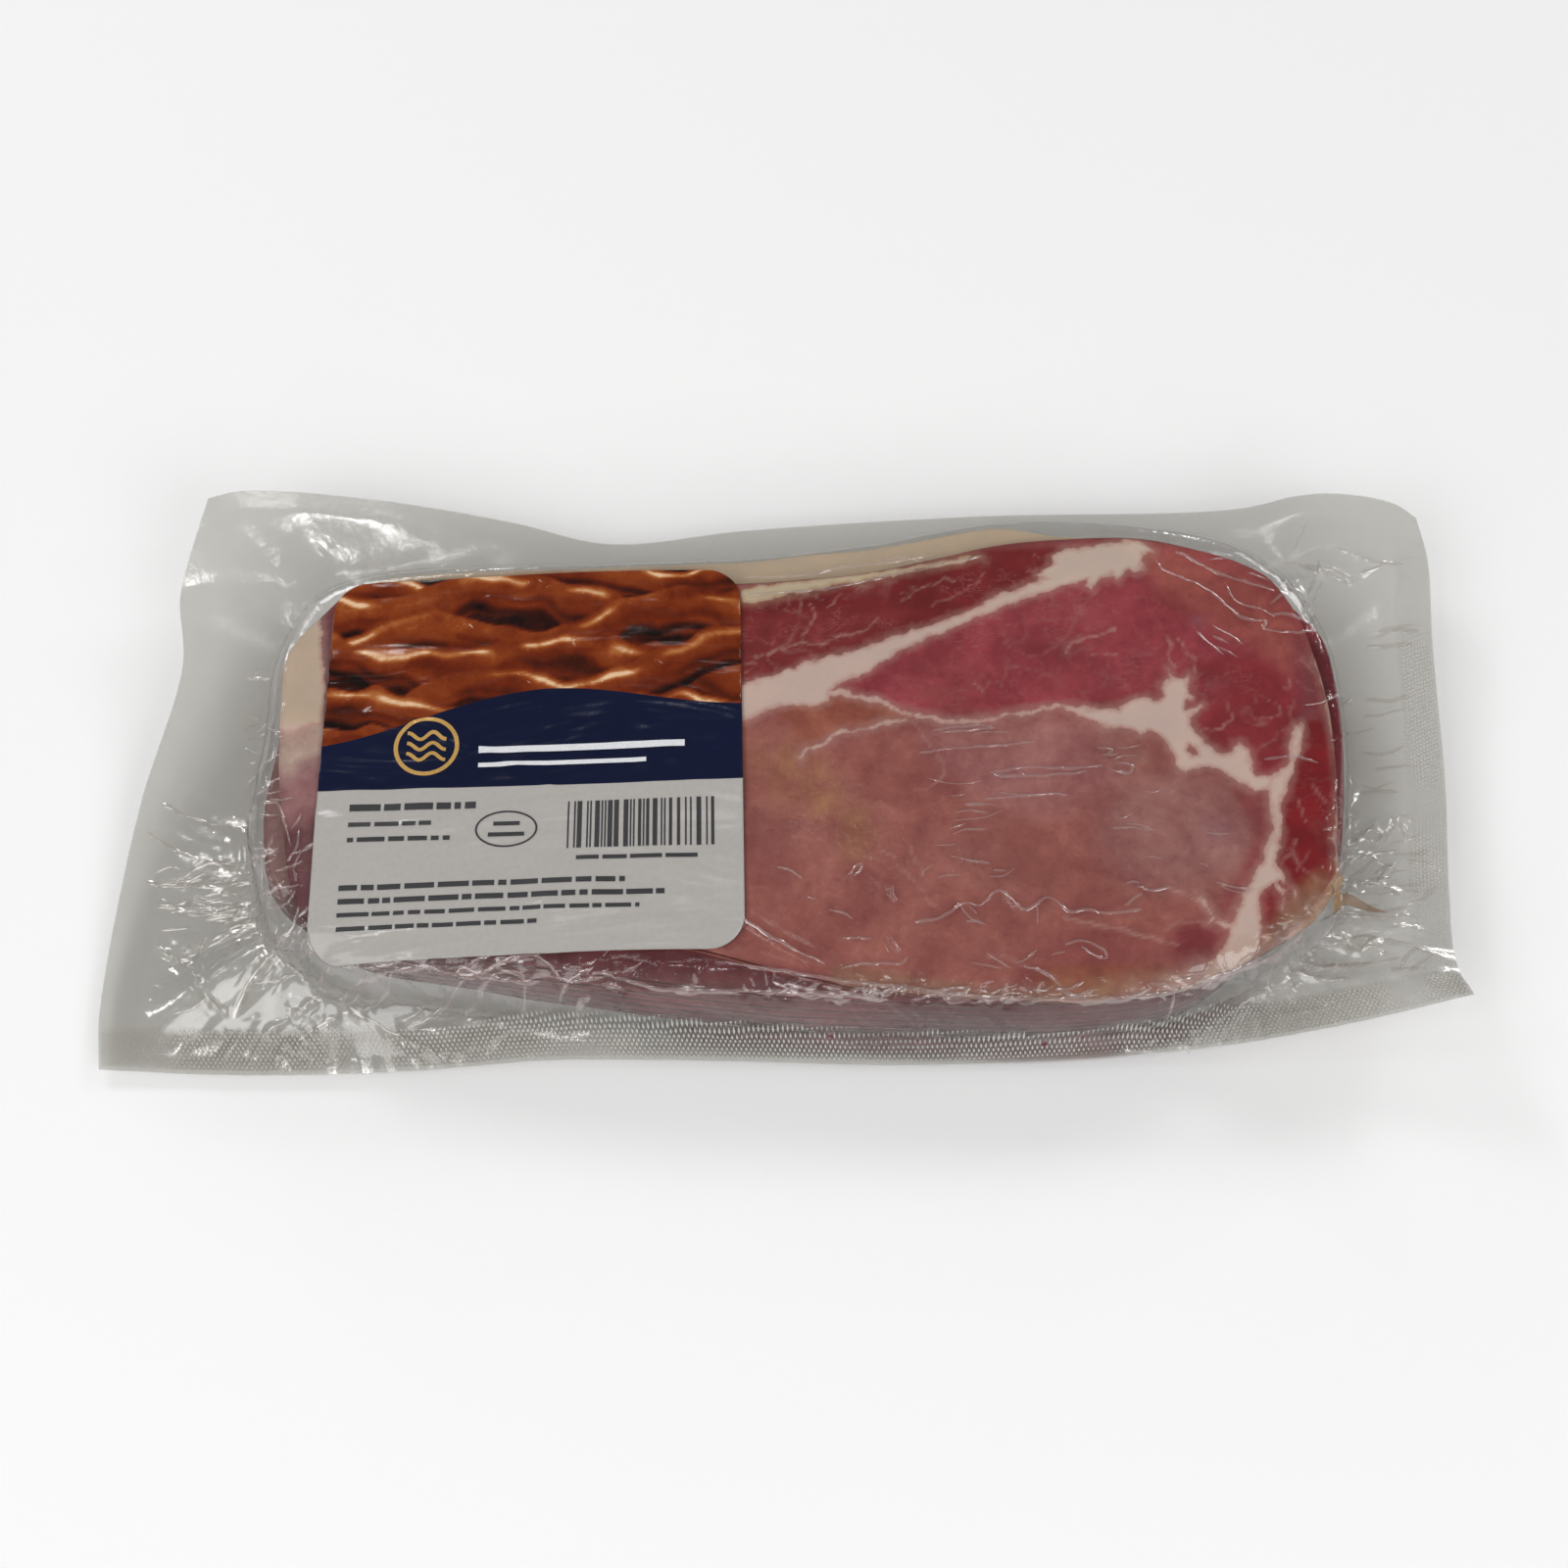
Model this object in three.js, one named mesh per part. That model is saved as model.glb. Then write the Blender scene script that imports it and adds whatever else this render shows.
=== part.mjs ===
// A vacuum pack of sliced back bacon, lying on its flat underside: a clear sealed bag drawn tight over a stack
// of rashers, with a rounded paper label stuck on top. Millimetres, +Z up. X runs along the pack, and +Y points
// away from the side that shows its wall. The bag with its rashers is one solid, and the label is another.
import * as THREE from "three";
import { mergeVertices } from "three/addons/utils/BufferGeometryUtils.js";

// The sheet that shows round the stack: two webs sealed together.
const sheetThickness = 0.6;

// The four cut edges of the bag, as points [x, y, height] that a smooth curve runs through. The corners curl up,
// all but the one at near left, and the long edges are drawn in where the stack is thickest.
const nearEdge = [
  [-140, -61.5, 2.6], [-110, -62.6, 2.2], [-76, -61.8, 2.6], [-47, -59.8, 3.6], [-8, -60, 3.2],
  [24, -60.6, 2.8], [55, -59.8, 3.6], [87, -58, 6.5], [113, -55.7, 14.5], [136.2, -52.2, 22],
];
const rightEdge = [
  [136.2, -52.2, 22], [135.4, -44.3, 17.5], [138, -27, 12.5], [141.6, -1, 11], [142.9, 32.6, 14],
  [143.8, 52, 17], [142.4, 62.6, 18],
];
const farEdge = [
  [142.4, 62.6, 18], [137.5, 66.4, 18.5], [120, 69.6, 17.5], [104, 68.4, 13], [44, 67, 12], [-9, 64.4, 10],
  [-40, 61.4, 9], [-62, 65.6, 11.5], [-91, 67.3, 18], [-122, 67.2, 22], [-129, 65.2, 22],
];
const leftEdge = [
  [-129, 65.2, 22], [-133, 52, 17], [-134.6, 44, 14], [-132.6, 28, 11.5], [-138.6, -2, 6.5],
  [-141.2, -28, 3.8], [-141.6, -50, 2.8], [-140, -61.5, 2.6],
];

// The stack of rashers, seen from above, where the sheet meets it.
const stackOutline = [
  [-111.5, 8], [-112.5, -13], [-107.5, -33], [-95, -45.5], [-68, -50.5], [-32, -53.5], [16, -56], [58, -56.5],
  [79, -54], [98, -45.5], [113, -31], [119, -8], [120.5, 14], [117.5, 34], [108, 48], [92, 56],
  [54, 60], [18, 54.5], [-10, 50.8], [-45, 49], [-80, 48.8], [-99, 45.8], [-107.5, 37.5], [-111.5, 25],
];
const rootHeight = 7.8; // where the sheet meets the stack, at mid-depth
const rootTilt = 0.03; // how much higher the sheet meets the stack for each millimetre further away
const faceHeight = 25.4; // top of the stack at its middle
const faceTilt = 0.03;
const tailDrop = 3.2; // the thin tails of the rashers make the left end lower
const shoulderRun = 7.5; // how far in from its outline the stack reaches its full height
const underRun = 6; // and how far in its flat underside begins
const shoulderRoundness = 2.3;

// Webs of film that bridge the angle between the stack's wall and the sheet, higher and lower by turns.
const webHeight = 3.4;
const webUnevenness = 0.55;
const webWaves = [9, 5]; // whole waves round the pack, so that the webs close on themselves

// Broad ridges of drawn film, each [x, y] to [x, y], with a height and a half width.
const ridges = [
  { from: [108, 42], to: [133, 52], height: 4.2, width: 5 },
  { from: [98, -43], to: [126, -49], height: 3, width: 4.5 },
  { from: [112, -34], to: [136, -34], height: 2.4, width: 5 },
  { from: [-100, -36], to: [-130, -52], height: 4, width: 6 },
  { from: [-70, -48], to: [-84, -58], height: 2, width: 4.5 },
  { from: [-104, 42], to: [-122, 58], height: 2.6, width: 6 },
  { from: [-110, -12], to: [-130, -16], height: 1.6, width: 6 },
];

// The label, with its own width along X and depth along Y before it is turned and laid on the pack.
const label = {
  width: 88,
  depth: 87,
  cornerRadius: 7.5,
  thickness: 0.35,
  clearance: 0.3,
  stiffness: 2.2, // how far round a point it takes the highest level of the pack, which it can't sink between
  centre: [-52.6, -1.1],
  turn: THREE.MathUtils.degToRad(1.2),
  columns: 18,
  rows: 18,
};

// Mesh density. The rings run round the pack: across the sheet, down the wall, and in over the face.
const pointsAlongLongEdge = 48;
const pointsAlongShortEdge = 24;
const sheetRings = [1, 0.74, 0.48, 0.22, 0]; // share of the way from the stack to the cut edge
const wallRings = [0.8, 2.2, 4.4, shoulderRun]; // distance in from the stack's outline
const faceRings = [0.82, 0.64, 0.46, 0.29, 0.14, 0]; // share of the way from the middle line
const underRings = [0.8, 2.6, underRun];

const middleLineHalf = 62; // half the length of the line that the rings close on

const clampUnit = (value) => Math.min(1, Math.max(0, value));
const smoothStep = (value) => THREE.MathUtils.smoothstep(value, 0, 1);

function curveThrough(points) {
  return new THREE.CatmullRomCurve3(points.map((p) => new THREE.Vector3(...p)), false, "centripetal");
}

// The cut edge of the bag, anticlockwise from the near left corner, each point with the point of the middle line
// that its ray starts from.
function bagRays() {
  const alongLine = (share) => new THREE.Vector2(middleLineHalf * (2 * share - 1), 0);
  const sides = [
    { points: nearEdge, count: pointsAlongLongEdge, startAt: (share) => alongLine(share) },
    { points: rightEdge, count: pointsAlongShortEdge, startAt: () => alongLine(1) },
    { points: farEdge, count: pointsAlongLongEdge, startAt: (share) => alongLine(1 - share) },
    { points: leftEdge, count: pointsAlongShortEdge, startAt: () => alongLine(0) },
  ];
  return sides.flatMap(({ points, count, startAt }) => {
    const edge = curveThrough(points).getSpacedPoints(count).slice(0, -1);
    return edge.map((edgePoint, i) => ({ edgePoint, start: startAt(i / count) }));
  });
}

function closedOutline(points) {
  const curve = new THREE.SplineCurve([...points, points[0]].map((p) => new THREE.Vector2(...p)));
  return curve.getSpacedPoints(points.length * 6).slice(0, -1);
}

// How far along a ray a closed outline lies.
function distanceTo(outline, start, way) {
  let farthest = 0;
  outline.forEach((a, i) => {
    const b = outline[(i + 1) % outline.length];
    const across = (b.x - a.x) * way.y - (b.y - a.y) * way.x;
    if (Math.abs(across) < 1e-9) return;
    const share = ((start.x - a.x) * way.y - (start.y - a.y) * way.x) / across;
    if (share < 0 || share > 1) return;
    const hit = new THREE.Vector2().lerpVectors(a, b, share).sub(start).dot(way);
    farthest = Math.max(farthest, hit);
  });
  return farthest;
}

// How much a ridge of film lifts the sheet at a point, fading out towards both of its ends.
function ridgeLift(x, y) {
  let lift = 0;
  for (const ridge of ridges) {
    const run = new THREE.Vector2(ridge.to[0] - ridge.from[0], ridge.to[1] - ridge.from[1]);
    const length = run.length();
    run.normalize();
    const along = (x - ridge.from[0]) * run.x + (y - ridge.from[1]) * run.y;
    const aside = (x - ridge.from[0]) * run.y - (y - ridge.from[1]) * run.x;
    const reach = clampUnit(along / length);
    const fade = Math.sin(Math.PI * clampUnit(0.25 + 0.75 * reach)) * (along < 0 ? Math.exp(along / 3) : 1);
    lift += ridge.height * fade * Math.exp(-((aside / ridge.width) ** 2));
  }
  return lift;
}

// How much the webs of film lift the sheet at a share of the way from the stack to the cut edge.
function webLift(x, y, share) {
  const turn = Math.atan2(y * 2, x);
  const waves = Math.sin(webWaves[0] * turn) * Math.sin(webWaves[1] * turn + 1);
  const uneven = 1 - webUnevenness * (0.5 + 0.5 * waves);
  return webHeight * uneven * (1 - share) ** 4;
}

// The top of the stack: nearly flat, a little higher at the back, lower at the tails, with soft hollows.
function faceLevel(x, y) {
  const tails = tailDrop * smoothStep((-x - 20) / 90);
  const hollows = 0.5 * Math.sin(x / 19 + 0.7) * Math.cos(y / 16) + 0.35 * Math.sin((x + 2 * y) / 27);
  return faceHeight + faceTilt * y - tails + hollows;
}

// The share of its height that a rounded wall has reached at a distance in from its foot.
function wallRise(inward, run) {
  const left = 1 - clampUnit(inward / run);
  return (1 - left ** shoulderRoundness) ** (1 / shoulderRoundness);
}

const rootLevel = (y) => rootHeight + rootTilt * y;

// One ray of the pack: its points from the cut edge over the top to the middle line, and the same underneath.
function rayPoints({ edgePoint, start }, outline) {
  const way = new THREE.Vector2(edgePoint.x, edgePoint.y).sub(start);
  const edgeDistance = way.length();
  way.normalize();
  const footDistance = distanceTo(outline, start, way);
  const at = (distance) => [start.x + way.x * distance, start.y + way.y * distance];
  const top = [];
  const under = [];
  for (const share of sheetRings) {
    const [x, y] = at(footDistance + (edgeDistance - footDistance) * share);
    const level = THREE.MathUtils.lerp(rootLevel(y), edgePoint.z, smoothStep(share) * 0.6 + share * 0.4);
    const ridged = level + ridgeLift(x, y) * (1 - share ** 3);
    top.push([x, y, ridged + webLift(x, y, share)]);
    under.push([x, y, ridged - sheetThickness]);
  }
  const foot = at(footDistance);
  const ridgeAtFoot = ridgeLift(...foot);
  const footLift = ridgeAtFoot + webLift(...foot, 0);
  for (const inward of wallRings) {
    const [x, y] = at(footDistance - inward);
    const rise = wallRise(inward, shoulderRun);
    top.push([x, y, THREE.MathUtils.lerp(rootLevel(y) + footLift, faceLevel(x, y), rise)]);
  }
  for (const share of faceRings) {
    const [x, y] = at((footDistance - shoulderRun) * share);
    top.push([x, y, faceLevel(x, y)]);
  }
  for (const inward of underRings) {
    const [x, y] = at(footDistance - inward);
    const underFoot = rootLevel(y) + ridgeAtFoot - sheetThickness;
    under.push([x, y, underFoot * (1 - wallRise(inward, underRun))]);
  }
  under.push([...at(0), 0]);
  return { top, under };
}

const samePoint = (a, b) => a.every((value, axis) => Math.abs(value - b[axis]) < 1e-6);

// Joins two lines of points, side by side, with triangles. Where the lines meet, a triangle is left out.
function bridge(lineA, lineB, triangles) {
  const addTriangle = (a, b, c) => {
    if (!samePoint(a, b) && !samePoint(b, c) && !samePoint(c, a)) triangles.push(a, b, c);
  };
  for (let i = 0; i + 1 < lineA.length; i += 1) {
    addTriangle(lineA[i], lineB[i], lineB[i + 1]);
    addTriangle(lineA[i], lineB[i + 1], lineA[i + 1]);
  }
}

function geometryOf(trianglePoints) {
  const positions = new Float32Array(trianglePoints.flat());
  const soup = new THREE.BufferGeometry();
  soup.setAttribute("position", new THREE.BufferAttribute(positions, 3));
  const merged = mergeVertices(soup, 1e-4);
  merged.computeVertexNormals();
  return merged;
}

function sealedBagGeometry() {
  const outline = closedOutline(stackOutline);
  const rays = bagRays().map((ray) => rayPoints(ray, outline));
  const triangles = [];
  rays.forEach((ray, i) => {
    const next = rays[(i + 1) % rays.length];
    bridge(ray.top, next.top, triangles);
    bridge(next.under, ray.under, triangles);
    bridge([ray.under[0], ray.top[0]], [next.under[0], next.top[0]], triangles);
  });
  return geometryOf(triangles);
}

// The height of a surface straight below or above a point.
function surfaceHeight(mesh, x, y) {
  const skyHigh = 100;
  const ray = new THREE.Raycaster(new THREE.Vector3(x, y, skyHigh), new THREE.Vector3(0, 0, -1));
  return ray.intersectObject(mesh)[0].point.z;
}

function levelUnderLabel(bag, x, y) {
  const reach = label.stiffness;
  const around = [[0, 0], [reach, 0], [-reach, 0], [0, reach], [0, -reach]];
  return Math.max(...around.map(([dx, dy]) => surfaceHeight(bag, x + dx, y + dy)));
}

// A thin sheet with round corners that lies on the pack.
function labelGeometry(bag) {
  const halfWidth = label.width / 2;
  const halfDepth = label.depth / 2;
  const radius = label.cornerRadius;
  const lower = [];
  const upper = [];
  for (let row = 0; row <= label.rows; row += 1) {
    const q = -halfDepth * Math.cos((Math.PI * row) / label.rows);
    const intoCorner = Math.max(0, Math.abs(q) - (halfDepth - radius));
    const reach = halfWidth - radius + Math.sqrt(Math.max(0, radius ** 2 - intoCorner ** 2));
    const lowerRow = [];
    const upperRow = [];
    for (let column = 0; column <= label.columns; column += 1) {
      const p = reach * ((2 * column) / label.columns - 1);
      const x = label.centre[0] + p * Math.cos(label.turn) - q * Math.sin(label.turn);
      const y = label.centre[1] + p * Math.sin(label.turn) + q * Math.cos(label.turn);
      const z = levelUnderLabel(bag, x, y) + label.clearance;
      lowerRow.push([x, y, z]);
      upperRow.push([x, y, z + label.thickness]);
    }
    lower.push(lowerRow);
    upper.push(upperRow);
  }
  const triangles = [];
  for (let row = 0; row < label.rows; row += 1) {
    bridge(upper[row + 1], upper[row], triangles);
    bridge(lower[row], lower[row + 1], triangles);
  }
  const rim = (grid) => [
    ...grid[0],
    ...grid.slice(1).map((line) => line.at(-1)),
    ...grid.at(-1).slice(0, -1).reverse(),
    ...grid.slice(0, -1).reverse().map((line) => line[0]),
  ];
  bridge(rim(upper), rim(lower), triangles);
  return geometryOf(triangles);
}

function namedMesh(name, geometry, material) {
  const mesh = new THREE.Mesh(geometry, material);
  mesh.name = name;
  return mesh;
}

const filmOverBacon = new THREE.MeshStandardMaterial({ color: 0xa3605e, roughness: 0.25, metalness: 0 });
const labelPaper = new THREE.MeshStandardMaterial({ color: 0xd9d8d4, roughness: 0.5, metalness: 0 });

const bag = namedMesh("sealed_bag", sealedBagGeometry(), filmOverBacon);
bag.updateMatrixWorld(true);
const paper = namedMesh("label", labelGeometry(bag), labelPaper);

// The origin is under the middle of the pack's box, at the level that it rests on.
const pack = new THREE.Group();
pack.add(bag, paper);
const box = new THREE.Box3().setFromObject(pack, true);
pack.position.set(-(box.min.x + box.max.x) / 2, -(box.min.y + box.max.y) / 2, -box.min.z);

export default pack;
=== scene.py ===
import bpy
import math
import numpy as np
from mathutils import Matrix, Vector
from mathutils.bvhtree import BVHTree


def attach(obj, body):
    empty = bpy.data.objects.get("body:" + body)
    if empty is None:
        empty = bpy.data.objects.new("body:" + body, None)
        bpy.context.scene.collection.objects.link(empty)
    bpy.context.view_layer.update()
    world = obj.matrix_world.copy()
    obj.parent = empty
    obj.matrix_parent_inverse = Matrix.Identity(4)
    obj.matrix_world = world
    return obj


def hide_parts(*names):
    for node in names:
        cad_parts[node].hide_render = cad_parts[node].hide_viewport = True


# A vacuum pack of back bacon. The bag's solid gives the form. A film of two webs, with a knurled seal round
# its edge, is drawn over a stack of rashers made to fit inside, and a printed paper label lies on the film.
# Shapes are worked out in millimetres on the drawing's axes, which lie CENTRE away from the frame's.

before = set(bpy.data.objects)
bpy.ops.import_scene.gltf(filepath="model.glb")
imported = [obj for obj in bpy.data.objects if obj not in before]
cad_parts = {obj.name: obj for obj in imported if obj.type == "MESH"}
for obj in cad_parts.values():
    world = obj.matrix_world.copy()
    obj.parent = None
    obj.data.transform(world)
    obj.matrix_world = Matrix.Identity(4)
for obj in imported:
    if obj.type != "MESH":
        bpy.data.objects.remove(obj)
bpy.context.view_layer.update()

CENTRE = np.array([1.0298, 3.47095, 0.0])
rng = np.random.default_rng(11)


# Shared tools.

def linear(hex_colour):
    c = np.array([int(hex_colour[i:i + 2], 16) / 255 for i in (0, 2, 4)])
    return np.where(c <= 0.04045, c / 12.92, ((c + 0.055) / 1.055) ** 2.4)


def ramp(value, low, high):
    t = np.clip((value - low) / (high - low), 0, 1)
    return t * t * (3 - 2 * t)


def noise(x, y, cell, seed):
    """Smooth noise from about -1 to 1, with cells of the given size."""
    table = np.random.default_rng(seed).uniform(-1, 1, (128, 128))
    gx, gy = x / cell + 31.7, y / cell + 17.3
    ix, iy = np.floor(gx).astype(int), np.floor(gy).astype(int)
    fx, fy = gx - ix, gy - iy
    sx, sy = fx * fx * (3 - 2 * fx), fy * fy * (3 - 2 * fy)
    at = lambda a, b: table[(ix + a) % 128, (iy + b) % 128]
    low = at(0, 0) * (1 - sx) + at(1, 0) * sx
    high = at(0, 1) * (1 - sx) + at(1, 1) * sx
    return (low * (1 - sy) + high * sy) * 1.5


def crumple(x, y, cell, seed, sharp=3.0):
    """Thin ridges where a warped noise passes zero, as creased film has."""
    wx = x + 0.6 * cell * noise(x, y, 1.7 * cell, seed + 50)
    wy = y + 0.6 * cell * noise(x, y, 1.7 * cell, seed + 51)
    n = noise(wx, wy, cell, seed)
    return np.clip(1 - np.abs(n) * sharp, 0, 1) ** 1.5


def run_along(points):
    """How far along a line each of its points lies."""
    return np.concatenate([[0], np.cumsum(np.linalg.norm(np.diff(points, axis=0), axis=1))])


def square_to(ways):
    """Unit vectors at right angles to some directions in the plane."""
    turned = np.stack([-ways[:, 1], ways[:, 0]], 1)
    return turned / np.maximum(np.linalg.norm(turned, axis=1, keepdims=True), 1e-9)


def swelling(x, y, centre, reach):
    """A soft swelling round a point, 1 at its middle, with its reach along x and y."""
    return np.exp(-(((x - centre[0]) / reach[0]) ** 2 + ((y - centre[1]) / reach[1]) ** 2))


def towards(tone, colour, amount):
    """Colours moved towards another one by an amount for each point."""
    return tone + (linear(colour) - tone) * amount[..., None]


def rim_distance(u, v, length, depth):
    """Distance to a grid's nearest edge, roughly, from its parameters and its size."""
    return np.minimum(np.minimum(u[:, None], 1 - u[:, None]) * length,
                      np.minimum(v[None], 1 - v[None]) * depth)


def spline(points, count, closed=False):
    """Points spaced evenly along a centripetal curve through the given ones."""
    p = np.array(points, float)
    if closed:
        p = np.vstack([p[-1], p, p[0], p[1]])
    else:
        p = np.vstack([2 * p[0] - p[1], p, 2 * p[-1] - p[-2]])
    fine = []
    steps = np.linspace(0, 1, 40, endpoint=False)[:, None]
    for a, b, c, d in zip(p[:-3], p[1:-2], p[2:-1], p[3:]):
        d1, d2, d3 = (max(np.sum((q - r) ** 2) ** 0.25, 1e-4) for q, r in ((b, a), (c, b), (d, c)))
        t1 = ((b - a) / d1 - (c - a) / (d1 + d2) + (c - b) / d2) * d2
        t2 = ((c - b) / d2 - (d - b) / (d2 + d3) + (d - c) / d3) * d2
        bend, twist = 3 * (c - b) - 2 * t1 - t2, 2 * (b - c) + t1 + t2
        fine.append(b + t1 * steps + bend * steps ** 2 + twist * steps ** 3)
    fine = np.vstack(fine + [p[-2][None]])
    run = run_along(fine)
    want = np.linspace(0, run[-1], count, endpoint=not closed)
    return np.stack([np.interp(want, run, fine[:, k]) for k in range(p.shape[1])], 1)


def lookup(field, i, j):
    """Values of a grid between its points."""
    a, b = np.clip(i.astype(int), 0, field.shape[0] - 2), np.clip(j.astype(int), 0, field.shape[1] - 2)
    s, t = i - a, j - b
    return (field[a, b] * (1 - s) * (1 - t) + field[a + 1, b] * s * (1 - t)
            + field[a, b + 1] * (1 - s) * t + field[a + 1, b + 1] * s * t)


def line_distance(x, y, points):
    """Distance to a polyline, and how far along it the nearest point lies, from 0 to 1."""
    p = np.array(points, float)[:, :2]
    run = run_along(p)
    best = np.full(np.shape(x), 1e9)
    along = np.zeros(np.shape(x))
    for k in range(len(p) - 1):
        d = p[k + 1] - p[k]
        length = max(np.hypot(*d), 1e-6)
        t = np.clip(((x - p[k, 0]) * d[0] + (y - p[k, 1]) * d[1]) / length ** 2, 0, 1)
        gap = np.hypot(x - p[k, 0] - t * d[0], y - p[k, 1] - t * d[1])
        near = gap < best
        best = np.where(near, gap, best)
        along = np.where(near, (run[k] + t * length) / run[-1], along)
    return best, along


def inside_by(x, y, outline):
    """Signed distance to a closed outline, positive inside it."""
    p = np.array(outline, float)[:, :2]
    gap, _ = line_distance(x, y, np.vstack([p, p[:1]]))
    odd = np.zeros(np.shape(x), bool)
    for a, b in zip(p, np.roll(p, -1, 0)):
        crosses = (a[1] > y) != (b[1] > y)
        rise = b[1] - a[1] if abs(b[1] - a[1]) > 1e-9 else 1e-9
        odd ^= crosses & (x < (b[0] - a[0]) * (y - a[1]) / rise + a[0])
    return np.where(odd, gap, -gap)


def coons(near, right, far, left, u, v):
    """A surface spanned by four edges: near and far run along u, and left and right along v."""
    at = lambda edge, t: np.stack([np.interp(t, np.linspace(0, 1, len(edge)), edge[:, k]) for k in (0, 1)], 1)
    n, f, l, r = at(near, u), at(far, u), at(left, v), at(right, v)
    u, v = u[:, None, None], v[None, :, None]
    across = n[:, None] * (1 - v) + f[:, None] * v
    along = l[None] * (1 - u) + r[None] * u
    corners = (1 - u) * (1 - v) * near[0] + u * (1 - v) * near[-1] + (1 - u) * v * far[0] + u * v * far[-1]
    return across + along - corners


def spacing(count, dense):
    """Parameters from 0 to 1, closer together in the given ranges of (start, end, density)."""
    t = np.linspace(0, 1, 2001)
    weight = np.ones_like(t)
    for start, end, density in dense:
        weight += (density - 1) * ramp(t, start - 0.01, start) * (1 - ramp(t, end, end + 0.01))
    total = np.concatenate([[0], np.cumsum((weight[1:] + weight[:-1]) / 2)])
    return np.interp(np.linspace(0, total[-1], count), total, t)


def blur(grid, sigma_u, sigma_v):
    for axis, sigma in ((0, sigma_u), (1, sigma_v)):
        reach = int(3 * sigma) + 1
        kernel = np.exp(-0.5 * (np.arange(-reach, reach + 1) / sigma) ** 2)
        kernel /= kernel.sum()
        margins = [(reach, reach) if k == axis else (0, 0) for k in (0, 1)]
        wide = np.pad(grid, margins, "reflect", reflect_type="odd")
        grid = sum(k * np.take(wide, range(i, i + grid.shape[axis]), axis) for i, k in enumerate(kernel))
    return grid


def add_mesh(name, points, faces, material, slot, smooth=True, normals=None, **fields):
    """A piece from points in drawing millimetres. Fields are numbers or colours for each point."""
    mesh = bpy.data.meshes.new(name)
    v = (np.asarray(points, float).reshape(-1, 3) - CENTRE) / 1000
    faces = np.asarray(faces, np.int32)
    mesh.vertices.add(len(v))
    mesh.vertices.foreach_set("co", v.ravel())
    mesh.loops.add(faces.size)
    mesh.loops.foreach_set("vertex_index", faces.ravel())
    mesh.polygons.add(len(faces))
    mesh.polygons.foreach_set("loop_start", np.arange(0, faces.size, faces.shape[1], dtype=np.int32))
    mesh.polygons.foreach_set("use_smooth", np.full(len(faces), smooth))
    mesh.update(calc_edges=True)
    for key, values in fields.items():
        values = np.asarray(values, float)
        if values.ndim > 1 and values.shape[-1] == 3:
            colours = np.hstack([values.reshape(-1, 3), np.ones((len(v), 1))])
            mesh.attributes.new(key, "FLOAT_COLOR", "POINT").data.foreach_set("color", colours.ravel())
        else:
            mesh.attributes.new(key, "FLOAT", "POINT").data.foreach_set("value", values.ravel())
    if normals is not None:
        mesh.normals_split_custom_set_from_vertices(np.asarray(normals, float).reshape(-1, 3).tolist())
    mesh.materials.append(material)
    piece = bpy.data.objects.new(name, mesh)
    bpy.context.scene.collection.objects.link(piece)
    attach(piece, "root")
    return piece


def quads(nu, nv, offset=0, flip=False):
    i, j = np.meshgrid(np.arange(nu - 1), np.arange(nv - 1), indexing="ij")
    a = (offset + i * nv + j).ravel()
    f = np.stack([a, a + nv, a + nv + 1, a + 1], 1)
    return f[:, ::-1] if flip else f


def grid_normals(p):
    du, dv = np.gradient(p, axis=0), np.gradient(p, axis=1)
    n = np.cross(du, dv)
    return n / np.maximum(np.linalg.norm(n, axis=2, keepdims=True), 1e-12)


def slab(name, xy, top, bottom, material, slot, **fields):
    """A closed sheet between two height grids over the same points."""
    nu, nv = top.shape
    count = nu * nv
    p = np.vstack([np.dstack([xy, level]).reshape(-1, 3) for level in (top, bottom)])
    index = np.arange(count).reshape(nu, nv)
    rim = np.concatenate([index[:, 0], index[-1, 1:], index[-2::-1, -1], index[0, -2:0:-1]])
    after = np.roll(rim, -1)
    sides = np.stack([after, rim, rim + count, after + count], 1)
    faces = np.vstack([quads(nu, nv), quads(nu, nv, count, True), sides[:, ::-1]])
    for key, values in fields.items():
        fields[key] = np.concatenate([np.asarray(values).reshape(count, -1)] * 2).squeeze()
    return add_mesh(name, p, faces, material, slot, **fields)


# The camera, and points picked in the picture.

ELEVATION = math.radians(64)
DISTANCE = 414.0
PICTURE = 1600  # width and height of the picture in pixels
FOCAL = 1965.0  # in the picture's pixels
PIXELS_PER_MM = 4.85  # on the rashers' face
FACE_HEIGHT = 25.0  # of the rashers, near enough to start from
TARGET = np.array([0, 0, 9.5])
UP = np.array([0, math.sin(ELEVATION), math.cos(ELEVATION)])
LOOK = np.array([0, math.cos(ELEVATION), -math.sin(ELEVATION)])

cam_data = bpy.data.cameras.new("camera")
cam = bpy.data.objects.new("camera", cam_data)
bpy.context.scene.collection.objects.link(cam)
bpy.context.scene.camera = cam
cam.location = (TARGET - CENTRE - DISTANCE * LOOK) / 1000
cam.rotation_euler = (math.pi / 2 - ELEVATION, 0, 0)
cam_data.sensor_width = 36
cam_data.lens = cam_data.sensor_width * FOCAL / PICTURE
cam_data.clip_start = 0.01

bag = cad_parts["sealed_bag"].data
bag_tree = BVHTree.FromPolygons([v.co for v in bag.vertices], [p.vertices for p in bag.polygons])


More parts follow.
